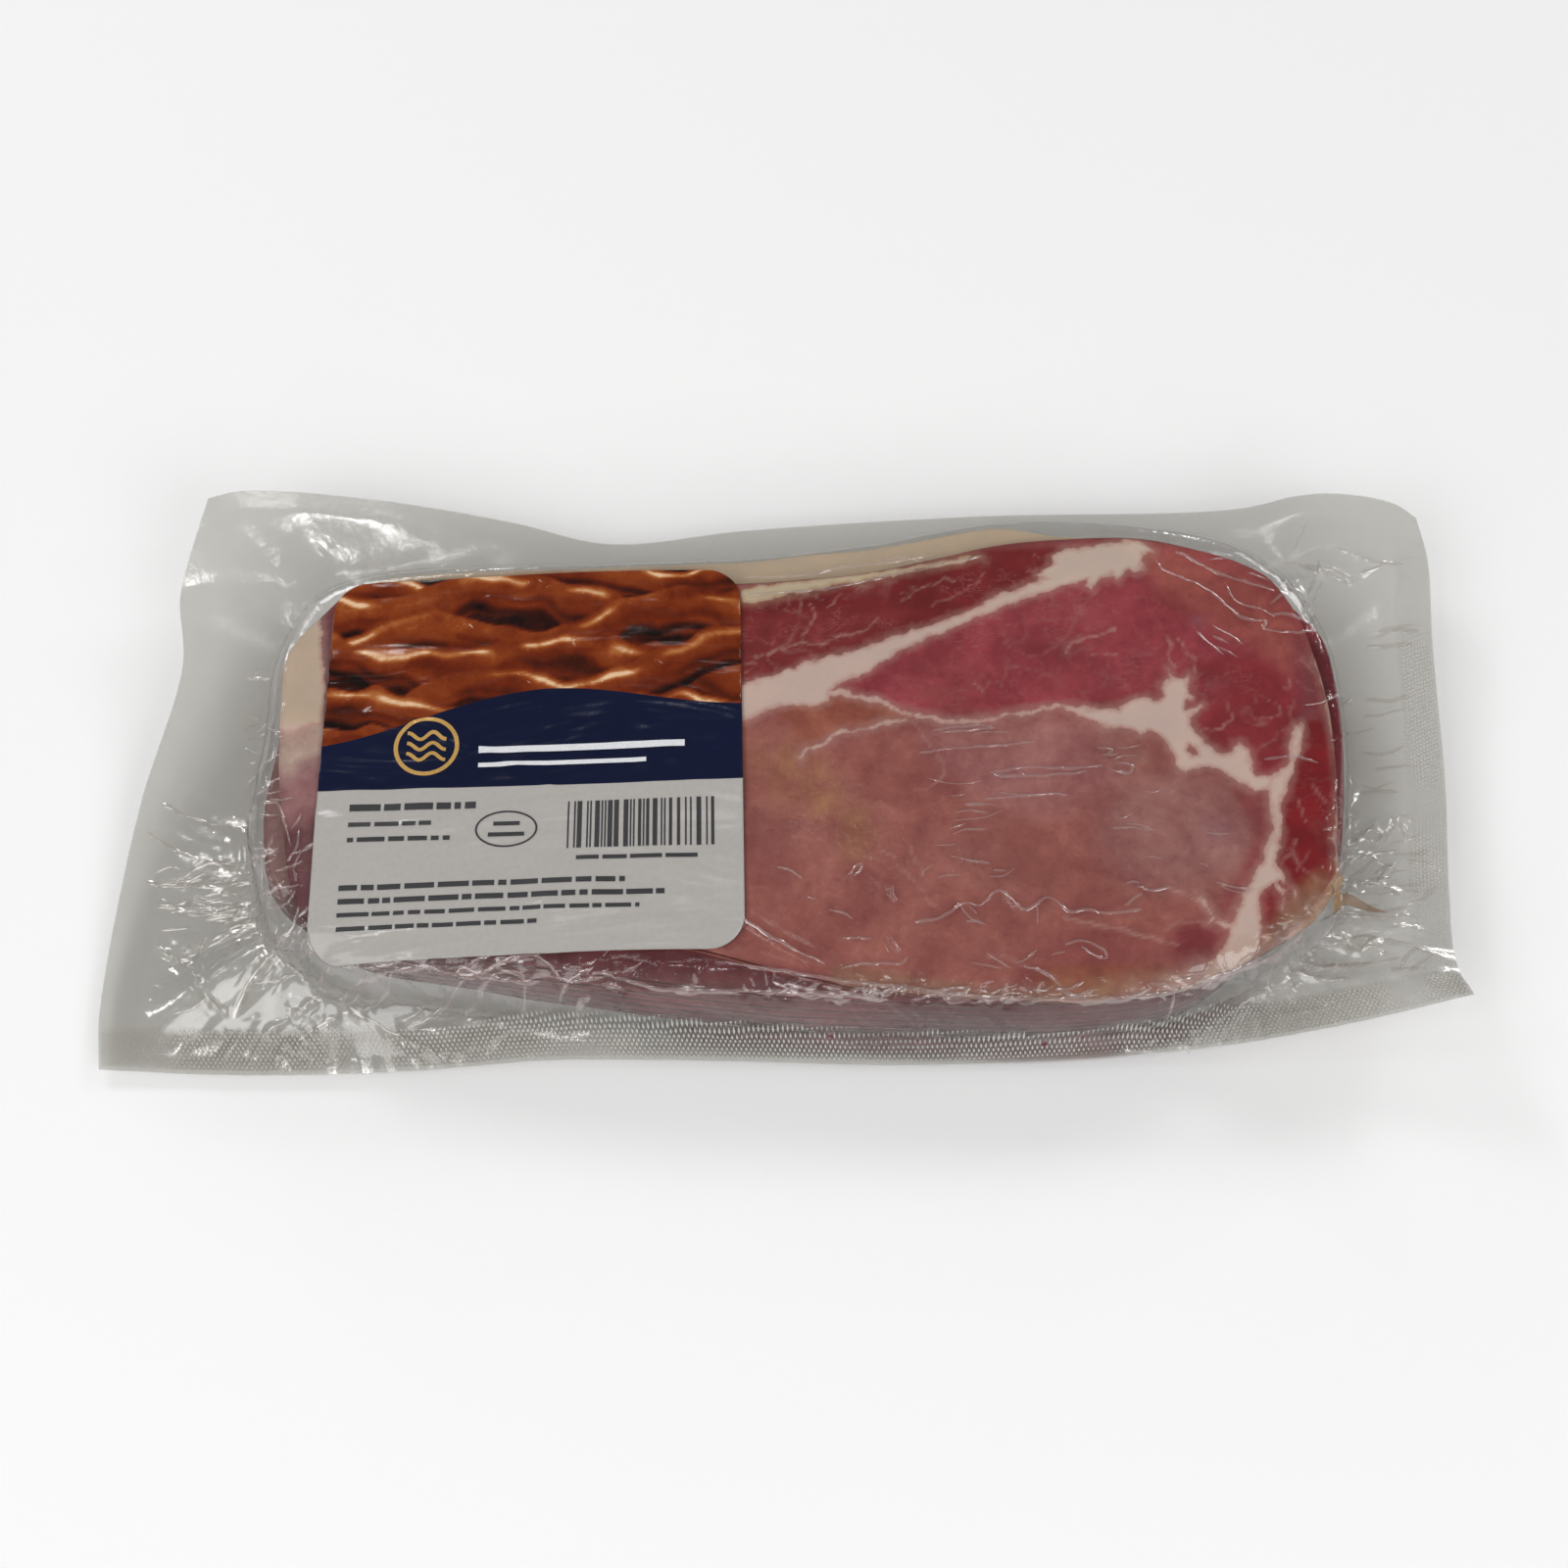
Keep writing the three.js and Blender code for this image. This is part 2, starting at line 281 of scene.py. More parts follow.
def cast(x, y, from_above=True):
    """Level of the bag's solid over or under points, in millimetres."""
    down = Vector((0, 0, -1 if from_above else 1))
    start = 0.2 if from_above else -0.2
    level = np.empty(np.shape(x))
    for k, (a, b) in enumerate(zip(np.ravel(x), np.ravel(y))):
        at = ((a - CENTRE[0]) / 1000, (b - CENTRE[1]) / 1000)
        hit = bag_tree.ray_cast(Vector((*at, start)), down)[0]
        if hit is None:
            hit = bag_tree.find_nearest(Vector((*at, 0.012)))[0]
        level.flat[k] = hit.z * 1000
    return level


def spots(text):
    """Points from text such as "3,5 4,7", with a third number each where there is one."""
    return np.array([[float(n) for n in spot.split(",")] for spot in text.split()])


def picked(pixels):
    """Drawing points on the bag under pixels of the picture."""
    px = spots(pixels) if isinstance(pixels, str) else np.array(pixels)
    start = TARGET - DISTANCE * LOOK
    a, b = (px[:, 0] - PICTURE / 2) / FOCAL, (PICTURE / 2 - px[:, 1]) / FOCAL
    way = LOOK + b[:, None] * UP + a[:, None] * np.array([1.0, 0, 0])
    z = np.full(len(px), FACE_HEIGHT)
    for _ in range(4):
        p = start + ((z - start[2]) / way[:, 2])[:, None] * way
        z = cast(p[:, 0], p[:, 1])
    return np.column_stack([p[:, :2], z])


# The outlines of the bag and of the stack's foot in drawing millimetres, the bag's with each point's height.
NEAR = spots(
    "-140,-61.5,2.6 -110,-62.6,2.2 -76,-61.8,2.6 -47,-59.8,3.6 -8,-60,3.2 24,-60.6,2.8 55,-59.8,3.6 "
    "87,-58,6.5 113,-55.7,14.5 136.2,-52.2,22")
RIGHT = spots(
    "136.2,-52.2,22 135.4,-44.3,17.5 138,-27,12.5 141.6,-1,11 142.9,32.6,14 143.8,52,17 142.4,62.6,18")
FAR = spots(
    "142.4,62.6,18 137.5,66.4,18.5 120,69.6,17.5 104,68.4,13 44,67,12 -9,64.4,10 -40,61.4,9 -62,65.6,11.5 "
    "-91,67.3,18 -122,67.2,22 -129,65.2,22")
LEFT = spots(
    "-129,65.2,22 -133,52,17 -134.6,44,14 -132.6,28,11.5 -138.6,-2,6.5 -141.2,-28,3.8 -141.6,-50,2.8 "
    "-140,-61.5,2.6")
STACK = spots(
    "-111.5,8 -112.5,-13 -107.5,-33 -95,-45.5 -68,-50.5 -32,-53.5 16,-56 58,-56.5 79,-54 98,-45.5 113,-31 "
    "119,-8 120.5,14 117.5,34 108,48 92,56 54,60 18,54.5 -10,50.8 -45,49 -80,48.8 -99,45.8 -107.5,37.5 "
    "-111.5,25")
near_edge, right_edge = spline(NEAR, 600)[:, :2], spline(RIGHT, 300)[:, :2]
far_edge, left_edge = spline(FAR, 600)[::-1, :2], spline(LEFT, 300)[::-1, :2]
stack_edge = spline(STACK, 720, closed=True)

# The film.

SHEET_LENGTH, SHEET_DEPTH = 282, 128
fine_u = spacing(561, [(0.08, 0.17, 1.7), (0.85, 0.95, 1.7), (0.46, 0.84, 1.25)])
fine_v = spacing(281, [(0.03, 0.17, 1.9), (0.84, 0.96, 1.7)])
film_xy = coons(near_edge, right_edge, far_edge, left_edge, fine_u, fine_v)
film_x, film_y = film_xy[..., 0], film_xy[..., 1]
depth_in = inside_by(film_x[::2, ::2], film_y[::2, ::2], stack_edge[::4])


def finer(coarse):
    """A grid as fine as the film's from a coarser one."""
    i, j = (np.linspace(0, n - 1, m) for n, m in zip(coarse.shape, film_x.shape))
    return lookup(coarse, i[:, None], j[None])


depth_in = finer(depth_in)
INWARD = 0.9985  # rays are cast a little inside the cut edge
cx, cy = film_x[::2, ::2] * INWARD, film_y[::2, ::2] * INWARD
top_raw, under_raw = finer(cast(cx, cy)), finer(cast(cx, cy, False))
wall = ramp(depth_in, -5, -1.5) * (1 - ramp(depth_in, 6, 11))
top_level = blur(top_raw, 5, 5) * (1 - wall) + blur(top_raw, 1.6, 1.6) * wall
under_wall = ramp(depth_in, -6, -2) * (1 - ramp(depth_in, 5, 9))
under_level = blur(under_raw, 5, 5) * (1 - under_wall) + blur(under_raw, 1.8, 1.8) * under_wall
under_level = np.maximum(under_level, 0.05)

# How far each point is from the cut edge, roughly.
edge_in = rim_distance(fine_u, fine_v, 280, 130)
face = ramp(depth_in, 3, 8)  # over the rashers' tops
side = ramp(depth_in, -3, 0) * (1 - ramp(depth_in, 5, 9))  # on the wall
margin = 1 - ramp(depth_in, -4, 0)  # the sheet round the stack

# Creases that the picture shows: height and half width in millimetres, and points in its pixels.
CREASES = [
    (0.11, 0.6, "952,746 975,741 1000,740 1014,743 1000,744 960,747"),
    (0.14, 0.6, "938,768 955,766 980,763 1010,761 1040,759 1055,757"),
    (0.1, 0.6, "1012,789 1030,785 1060,783 1090,784 1125,781"),
    (0.1, 0.6, "1015,790 1045,792 1080,790 1110,787"),
    (0.12, 0.6, "1005,815 1030,813 1060,810 1090,811"),
    (0.12, 0.7, "985,820 1003,822"),
    (0.2, 0.8, "1120,762 1135,766 1130,770"),
    (0.12, 0.6, "1140,778 1155,782 1152,788 1135,786"),
    (0.2, 0.65, "933,940 955,938 970,930 980,922 1000,923 1020,909 1030,915 1045,928 1058,922 1068,916 "
     "1080,920 1090,930 1110,928 1130,932 1165,928"),
    (0.32, 0.7, "753,922 757,935 775,948 790,958 810,968 830,978 842,983"),
    (0.22, 0.6, "858,988 870,985 890,983 910,984 921,983 926,976"),
    (0.16, 0.6, "909,956 915,965 920,970"),
    (0.14, 0.6, "865,893 870,888 878,882 880,884 872,894"),
    (0.12, 0.6, "860,958 880,957"),
    (0.12, 0.6, "911,903 912,912 916,918"),
    (0.16, 0.6, "1087,963 1105,960 1125,968 1130,978 1118,976 1104,966"),
    (0.12, 0.6, "1045,985 1060,990 1075,998 1082,1006"),
    (0.1, 0.6, "985,878 1010,880"),
    (0.12, 0.6, "1160,905 1175,908 1195,905"),
    (0.12, 0.6, "1240,900 1262,906 1280,908"),
    (0.2, 0.6, "1178,572 1188,582 1225,597 1245,612 1265,628 1275,632 1292,634 1288,640 1310,645 "
     "1340,645"),
    (0.25, 0.7, "1200,562 1222,575 1245,586 1265,592 1300,603"),
    (0.14, 0.6, "1252,598 1262,614 1290,622 1300,630"),
    (0.14, 0.6, "1290,774 1320,772 1345,778"),
    (0.16, 0.6, "1330,720 1352,716 1380,712"),
    (0.3, 0.9, "740,981 800,991 850,1000 900,1005 940,1010 960,1014 1040,1020 1130,1026 1175,1018 "
     "1217,1007 1255,993 1290,985 1330,955"),
    (0.5, 0.8, "605,1032 620,1020 635,1015 700,1013 770,1013 830,1016 880,1016 905,1026"),
    (0.3, 0.6, "790,1027 820,1022 845,1016"),
    (0.25, 0.6, "800,1032 835,1026 860,1020"),
    (0.25, 0.6, "840,1033 870,1028 900,1022"),
    (0.3, 0.7, "955,1032 970,1026 990,1022"),
    (0.25, 0.6, "940,1040 965,1036 985,1034"),
    (0.35, 0.8, "560,1022 590,1005 615,998"),
    (0.3, 0.8, "480,1010 510,1024 560,1030"),
    (0.7, 0.7, "160,965 175,975 195,990 210,1015 232,1040"),
    (0.7, 1.5, "240,1040 250,1015 258,1000 270,985 285,968 298,952"),
    (0.5, 0.7, "262,1005 280,1003 300,995 310,985 322,973"),
    (0.6, 0.9, "275,1052 290,1045 310,1030 325,1015 338,1002"),
    (0.55, 1.4, "278,1084 300,1066 322,1050 340,1042"),
    (0.6, 0.9, "345,1025 360,1018 400,1010 440,1005 480,1000 500,990 520,980 545,975 560,985 572,1000"),
    (0.5, 1.2, "350,1025 362,1035 380,1043 400,1055 420,1062 440,1072 460,1083"),
    (0.35, 0.7, "420,1050 440,1042 470,1038 500,1030 520,1020 538,1018 545,1030 530,1045 510,1065 "
     "500,1078"),
    (0.3, 0.5, "440,1040 480,1025 520,1010 538,1006"),
    (0.3, 0.5, "360,1005 400,985 420,975"),
    (0.4, 0.7, "255,880 270,874 284,866"),
    (0.3, 0.5, "282,815 290,840 297,862"),
    (0.4, 0.7, "245,925 265,915 290,905 305,903"),
    (0.4, 0.8, "235,960 262,940 290,925"),
    (0.25, 1, "150,850 190,872 235,884 262,884"),
    (0.25, 0.9, "148,900 185,905 230,905"),
    (0.2, 1, "165,820 205,838 250,842"),
    (0.35, 0.6, "762,590 800,588 830,586 850,580 880,577 945,568"),
    (0.25, 0.6, "765,607 800,605 850,600 880,594 930,583 1000,568"),
    (0.3, 0.8, "900,572 925,568 940,573"),
    (0.6, 0.7, "1325,578 1350,584 1378,594 1390,586 1410,577"),
    (0.3, 0.6, "1330,577 1362,582 1380,590"),
    (0.3, 1, "1366,560 1400,572 1430,575"),
    (0.6, 1, "1370,868 1385,858 1398,846 1405,838"),
    (0.5, 0.8, "1362,892 1380,880 1400,872 1425,868"),
    (0.4, 0.9, "1395,900 1412,905 1425,913"),
    (0.5, 0.9, "1413,858 1420,846 1424,836 1434,850 1436,858"),
    (0.4, 0.7, "1392,850 1400,846 1410,852 1404,860 1394,858"),
    (0.3, 0.8, "1430,832 1438,835 1445,840"),
    (0.5, 0.7, "1390,900 1395,905 1402,903 1412,892 1423,880"),
    (0.3, 0.5, "1415,938 1430,934 1450,936"),
    (0.3, 0.5, "1418,948 1435,945 1450,950"),
    (0.4, 0.6, "1380,958 1395,955 1410,960"),
    (0.4, 0.6, "1385,972 1400,966 1415,972"),
    (0.4, 0.7, "1360,938 1385,935 1415,939"),
    (0.7, 1.1, "1365,950 1385,972 1400,960 1412,976"),
    (0.5, 0.7, "1315,978 1332,984 1350,987 1380,986 1400,983"),
    (0.5, 0.8, "1296,985 1320,992 1352,999 1385,998"),
    (0.4, 0.7, "1240,1000 1262,990 1280,989 1304,988"),
    (0.35, 0.7, "1285,1000 1296,1012 1305,1020"),
    (0.35, 0.7, "1225,1010 1245,1003 1270,1003 1262,1010"),
    (0.25, 0.8, "1300,1035 1340,1030 1370,1022"),
    (0.3, 0.8, "1160,1034 1180,1038 1195,1042"),
    (0.5, 0.9, "1195,1058 1205,1066 1213,1076"),
]
SOFT_FOLDS = [
    (0.3, 1, "1300,552 1310,568 1320,590 1326,640 1330,700 1335,770"),
    (0.45, 1, "868,1018 890,1030 905,1042 922,1058 930,1074"),
    (0.3, 0.8, "905,1020 925,1036 945,1052 960,1070"),
    (0.15, 1.8, "290,590 268,560 240,540"),
    (0.12, 1.8, "318,588 330,562 352,545"),
    (0.12, 1.6, "400,560 460,548 520,556 600,562"),
]
folds = np.zeros_like(film_x)
for height, half, pixels in CREASES + SOFT_FOLDS:
    where = picked(pixels)
    curve = spline(where[:, :2], max(8, 3 * len(where)))
    box = ((film_x > curve[:, 0].min() - 6) & (film_x < curve[:, 0].max() + 6)
           & (film_y > curve[:, 1].min() - 6) & (film_y < curve[:, 1].max() + 6))
    gap, along = line_distance(film_x[box], film_y[box], curve)
    broken = 0.65 + 0.35 * noise(along * 40, along * 0, 3, int(spots(pixels)[0, 0]))
    fade = np.sin(np.pi * np.clip(along * 0.9 + 0.05, 0, 1)) ** 0.5
    ridge = np.exp(-(gap / half) ** 1.4) - 0.35 * np.exp(-((gap - 2.2 * half) / (1.2 * half)) ** 2)
    ridge = height * ridge * fade
    folds[box] = np.where(np.abs(ridge) > np.abs(folds[box]), ridge * broken, folds[box])

# Wrinkles that fan out from the stack's corners over the sheet.
FANS = [((-92, -28), 0.24), ((98, -30), 0.24), ((100, 34), 0.05), ((-96, 34), 0.04)]
fans = np.zeros_like(film_x)
for k, ((fx, fy), height) in enumerate(FANS):
    radius = np.hypot(film_x - fx, film_y - fy)
    angle = np.arctan2(film_y - fy, film_x - fx)
    near_corner = ramp(radius, 8, 20) * (1 - ramp(radius, 34, 58))
    fans += height * near_corner * noise(angle * 14, radius / 12, 1.0, 80 + k) * ramp(-depth_in, -3, 2)

# Broad slackness, fine wrinkles that run towards the stack, and crumples on the wall.
flat_ends = ramp(np.abs(film_x), 108, 122)
low_left = swelling(film_x, film_y, (-112, -46), (30, 20))
low_right = swelling(film_x, film_y, (122, -30), (24, 20))
busy = 0.1 + low_left + low_right
slack = 0.22 * margin * noise(film_x, film_y, 19, 3) + 0.09 * margin * busy * noise(film_x, film_y, 8, 4)
drawn = 0.045 * noise(film_x, film_y * 5, 13, 5) + 0.02 * noise(film_x, film_y * 3, 3.4, 6)
drawn = flat_ends * busy * drawn + (1 - flat_ends) * 0.05 * noise(film_x * 4, film_y, 9, 7)
puckers = side * 0.2 * noise(film_x * 2.2, film_y * 2.2, 9, 8) * (0.25 + 0.75 * ramp(-film_y, -20, 20))
calm = 1 - 0.85 * ramp(film_y, 8, 34)  # the far corners are smooth
tight = face * (0.035 * crumple(film_x, film_y, 8.5, 12, 5) * ramp(noise(film_x, film_y, 24, 13), -0.1, 0.5)
                + 0.03 * noise(film_x, film_y, 9, 14))
crinkles = 0.12 * crumple(film_x, film_y, 8.5, 15, 5) + 0.05 * crumple(film_x, film_y, 4.1, 16, 5)
sealed = 1 - ramp(edge_in, 6, 11)  # the seal presses wrinkles out
loose_sheet = slack + margin * (drawn + busy * crinkles)
wrinkle = folds + calm * (fans * (1 - 0.35 * sealed) + loose_sheet * (1 - 0.7 * sealed)) + puckers + tight

# The label's plane, in its own p and q.
LABEL = dict(centre=(-52.6, -1.1), turn=math.radians(1.2), width=88.0, depth=87.0, radius=7.5)


def label_place(p, q):
    c, s = math.cos(LABEL["turn"]), math.sin(LABEL["turn"])
    return LABEL["centre"][0] + p * c - q * s, LABEL["centre"][1] + p * s + q * c


def label_axes(x, y):
    c, s = math.cos(LABEL["turn"]), math.sin(LABEL["turn"])
    dx, dy = x - LABEL["centre"][0], y - LABEL["centre"][1]
    return dx * c + dy * s, -dx * s + dy * c


film_p, film_q = label_axes(film_x, film_y)
label_in = np.minimum(LABEL["width"] / 2 - np.abs(film_p), LABEL["depth"] / 2 - np.abs(film_q))
under_label = ramp(label_in, -0.5, 1.5)
wrinkle *= 1 - 0.9 * under_label
film_z = top_level + wrinkle
under_z = under_level + 0.35 * margin + wrinkle * margin
WEBS_APART, ABOVE_FLOOR = 0.15, 0.04  # the least that they may be
under_z = np.minimum(under_z, film_z - WEBS_APART - 0.25 * (1 - margin))
under_z = np.maximum(under_z, ABOVE_FLOOR)

# On the wall the film is crumpled square to its surface.
wall_x, wall_y = film_x + 0.7 * top_level, film_y + 0.7 * top_level
crumpled = (0.42 * crumple(wall_x, wall_y, 6.5, 9) + 0.24 * crumple(wall_x, wall_y, 3.2, 10)
            + 0.3 * noise(wall_x, wall_y, 8, 17)) * (1 + 1.3 * low_left + 0.7 * low_right)
crumpled *= side * (1 - under_label) * (0.2 + 0.8 * ramp(-film_y, -20, 20))
base_normals = grid_normals(np.dstack([film_x, film_y, film_z]))
guess_x, guess_y = film_x[:, 140].copy(), film_y[280, :].copy()
film_x, film_y, film_z = (f + crumpled * base_normals[..., k] for k, f in enumerate((film_x, film_y, film_z)))


def grid_place(u, v):
    """Where in the film's grid two parameters from 0 to 1 lie."""
    return np.interp(u, fine_u, np.arange(len(fine_u))), np.interp(v, fine_v, np.arange(len(fine_v)))


def on_film(x, y, field=None):
    """Level of the film at points of the drawing, by way of its grid."""
    field = film_z if field is None else field
    u = np.interp(x, guess_x, fine_u)
    v = np.interp(y, guess_y, fine_v)
    for _ in range(8):
        i, j = grid_place(u, v)
        u = np.clip(u + (x - lookup(film_x, i, j)) / SHEET_LENGTH, 0, 1)
        v = np.clip(v + (y - lookup(film_y, i, j)) / SHEET_DEPTH, 0, 1)
    return lookup(field, *grid_place(u, v))


# Materials.

class Shader:
    """A material's nodes. Numbers, colours and the outputs of nodes are given alike."""

    def __init__(self, name):
        self.material = bpy.data.materials.new(name)
        self.material.use_nodes = True
        self.tree = self.material.node_tree
        self.tree.nodes.clear()
        self.where = self.node("ShaderNodeTexCoord").outputs["Object"]

    def put(self, value, socket):
        if hasattr(value, "links"):
            self.tree.links.new(value, socket)
        elif isinstance(value, (int, float)):
            socket.default_value = value
        else:
            socket.default_value = (*value, 1) if socket.type == "RGBA" else value

    def node(self, kind, settings=(), **inputs):
        n = self.tree.nodes.new(kind)
        for key, value in settings:
            setattr(n, key, value)
        for key, value in inputs.items():
            self.put(value, n.inputs[key.replace("_", " ")])
        return n

    def field(self, name, output="Fac"):
        return self.node("ShaderNodeAttribute", [("attribute_name", name)]).outputs[output]

    def math(self, operation, a, b=0.0):
        n = self.node("ShaderNodeMath", [("operation", operation)])
        self.put(a, n.inputs[0])
        self.put(b, n.inputs[1])
        return n.outputs[0]

    def times(self, a, b):
        return self.math("MULTIPLY", a, b)

    def plus(self, a, b):
        return self.math("ADD", a, b)

    def mix(self, factor, a, b, blend="MIX"):
        n = self.node("ShaderNodeMix", [("data_type", "RGBA"), ("blend_type", blend)])
        for index, value in ((0, factor), (6, a), (7, b)):
            self.put(value, n.inputs[index])
        return n.outputs[2]

    def between(self, value, low, high):
        """A smooth step from 0 at low to 1 at high."""
        return self.node("ShaderNodeMapRange", [("interpolation_type", "SMOOTHSTEP")], Value=value,
                         From_Min=low, From_Max=high).outputs["Result"]

    def noise(self, scale, detail=3.0, rough=0.5, distortion=0.0, vector=None):
        return self.node("ShaderNodeTexNoise", Vector=self.where if vector is None else vector, Scale=scale,
                         Detail=detail, Roughness=rough, Distortion=distortion).outputs["Fac"]

    def stretched(self, scale, turn):
        mapping = self.node("ShaderNodeMapping", Vector=self.where, Scale=scale, Rotation=(0, 0, turn))
        return mapping.outputs[0]

    def bump(self, height, strength, distance, **normal):
        return self.node("ShaderNodeBump", Height=height, Strength=strength, Distance=distance,
                         **normal).outputs["Normal"]

    def surface(self, kind, **inputs):
        return self.node("ShaderNodeBsdf" + kind, **inputs).outputs[0]

    def blend(self, amount, a, b):
        """Two surfaces, the second by its amount."""
        n = self.node("ShaderNodeMixShader")
        for socket, value in zip(n.inputs, (amount, a, b)):
            self.put(value, socket)
        return n.outputs[0]

    def finished(self, surface):
        self.put(surface, self.node("ShaderNodeOutputMaterial").inputs[0])
        return self.material


def film_material(name, clear, clear_loose, haze, haze_loose, rough, bump, scale, dots=0.0, shine_by=1.25,
                  shine_top=0.13, shine_loose=0.0, milk_colour=(0.54, 0.53, 0.495)):
    """Thin film: what is behind shows through, a little milky where it hangs loose, milky too as a painted
    reflection on the near wall and as a painted highlight on the seal's raised diamonds, with gloss on top.
    """
    s = Shader(name)
    loose = s.field("loose")
    normal = s.bump(s.noise(scale), bump, 0.0004)
    fresnel = s.node("ShaderNodeFresnel", IOR=1.45, Normal=normal).outputs[0]
    shine = s.math("MINIMUM", s.times(fresnel, shine_by), shine_top)
    shine = s.times(shine, s.plus(s.times(loose, shine_loose), 1.0))
    tint = (clear_loose, clear_loose * 0.993, clear_loose * 0.972)
    if dots:
        pressed_in = s.field("pressed_in")
        shine = s.times(shine, pressed_in)
        tint = s.mix(pressed_in, (1, 1, 1), (0.80, 0.785, 0.765))
        # The seal's raised diamonds are made milkier and so lighter: a painted highlight that stands for the
        # light they catch.
        raised = s.times(s.between(s.field("dot"), 0.2, 0.75), dots)
        haze, haze_loose = s.plus(raised, haze), s.plus(raised, haze_loose)
    milk = s.surface("Diffuse", Color=milk_colour)
    tight_film = s.blend(haze, s.surface("Transparent", Color=(clear, clear, clear)), milk)
    loose_film = s.blend(haze_loose, s.surface("Transparent", Color=tint), milk)
    gloss = s.surface("Glossy", Roughness=rough, Normal=normal)
    return s.finished(s.blend(shine, s.blend(loose, tight_film, loose_film), gloss))


def bacon_material(name):
    """Muscle takes the tone of each point, and fat begins where the fat field passes zero."""
    s = Shader(name)
    meat, fat_tone = s.field("tone", "Color"), s.field("fat_tone", "Color")
    blotch, fine = s.noise(85, 4, 0.6, 0.5), s.noise(420, 4, 0.65, 0.4)
    mottles = [(blotch, 0.4, 0.72, (1.2, 1.3, 1.26)), (blotch, 0.55, 0.28, (0.86, 0.76, 0.8)),
               (fine, 0.5, 0.72, (1.15, 1.2, 1.18)), (fine, 0.48, 0.3, (0.88, 0.82, 0.84))]
    for mottle, low, high, shade in mottles:
        meat = s.mix(s.between(mottle, low, high), meat, shade, "MULTIPLY")

    # Faint pale streaks between the fibres, and the veins that the vein field marks.
    fibres = s.noise(120, 4, 0.65, 1.4, s.stretched((1.0, 2.6, 1.0), 0.25))
    streak = s.between(s.math("ABSOLUTE", s.math("SUBTRACT", fibres, 0.5)), 0.03, 0.0)
    streak = s.times(s.times(streak, s.field("streaks")), s.between(s.noise(90, 2), 0.48, 0.64))
    meat = s.mix(streak, meat, linear("a8706f"))
    broken = s.between(s.noise(520), 0.3, 0.6)
    thread = s.times(s.field("vein"), s.plus(s.times(broken, 0.6), 0.4))
    meat = s.mix(thread, meat, linear("c09a90"))

    # Fat with a ragged edge, pinker where it is thin, and a faint halo of it in the muscle.
    ragged = s.math("SUBTRACT", s.noise(360, 4, 0.7, 0.6), 0.5)
    edge = s.plus(s.field("fat"), s.times(ragged, 1.9))
    amount = s.between(edge, -0.3, 0.3)
    pinker = s.mix(1.0, fat_tone, (0.86, 0.70, 0.68), "MULTIPLY")
    pale = s.mix(s.between(edge, 0.0, 1.3), pinker, fat_tone)
    pale = s.mix(s.between(blotch, 0.35, 0.7), pale, (1.1, 1.08, 1.04), "MULTIPLY")
    meat = s.mix(s.times(s.between(edge, -2.2, 0.1), 0.3), meat, pinker)
    relief = s.plus(s.times(fine, 0.6), s.times(amount, 0.35))
    return s.finished(s.surface("Principled", Base_Color=s.mix(amount, meat, pale), Roughness=0.5,
                                Specular_IOR_Level=0.1, Normal=s.bump(relief, 0.5, 0.0004)))


# A purplish brown sheet that lets through what is behind it where its amount field is low.
def purplish_sheet_material(name):
    s = Shader(name)
    colour = s.mix(s.noise(160), linear("632f33"), linear("7a4447"))
    purplish_surface = s.surface("Principled", Base_Color=colour, Roughness=0.4, Specular_IOR_Level=0.1)
    return s.finished(s.blend(s.field("amount"), s.surface("Transparent"), purplish_surface))


def ink_material(name, colour, rough, metal=0.0):
    s = Shader(name)
    shade = s.mix(s.noise(1500, 2), linear(colour) * 0.85, np.minimum(linear(colour) * 1.2, 1))
    return s.finished(s.surface("Principled", Base_Color=shade, Roughness=rough, Metallic=metal))


def plain_material(name, colour, rough):
    s = Shader(name)
    return s.finished(s.surface("Principled", Base_Color=colour, Roughness=rough))


def label_material(name):
    """Paper with fields of print: a warm picture of waves, a dark blue band and a bare lower part."""
    s = Shader(name)
    paper = s.mix(s.noise(900, 4), linear("a6a29e"), linear("b2aeaa"))
    soft, grain = s.noise(60, 4, 0.6, 0.6), s.noise(230, 4, 0.65, 0.8)
    lit = s.plus(s.field("swell"), s.times(s.math("SUBTRACT", soft, 0.5), 0.35))
    lit = s.plus(lit, s.times(s.math("SUBTRACT", grain, 0.5), 0.4))
    colours = s.node("ShaderNodeValToRGB", Fac=lit)
    stops = [(0.0, "150807"), (0.22, "3f150a"), (0.45, "66230b"), (0.66, "843b17"), (0.84, "a96636"),
             (1.0, "e2bd96")]
    for k, (place, colour) in enumerate(stops):
        e = colours.color_ramp.elements[k] if k < 2 else colours.color_ramp.elements.new(place)
        e.position = place
        e.color = (*linear(colour), 1)
    spark = s.times(s.between(s.noise(260, 3, 0.6, 1.2), 0.66, 0.74), s.between(s.field("glow"), 0.5, 0.9))
    picture = s.mix(spark, colours.outputs["Color"], linear("f2dcc0"))
    deep = s.mix(soft, linear("0b1129"), linear("101836"))
    upper = s.mix(s.between(s.field("band_area"), -0.06, 0.06), picture, deep)
    colour = s.mix(s.between(s.field("warm_area"), -0.06, 0.06), paper, upper)

    # Slanting wrinkles of the paper, which catch a soft light here and there.
    slanted = s.noise(40, 3, 0.5, 0.8, s.stretched((0.35, 1.6, 1.0), 0.9))
    normal = s.bump(s.noise(240), 0.25, 0.0003, Normal=s.bump(slanted, 0.7, 0.003))
    return s.finished(s.surface("Principled", Base_Color=colour, Roughness=0.16, Specular_IOR_Level=0.3,
                                Normal=normal))


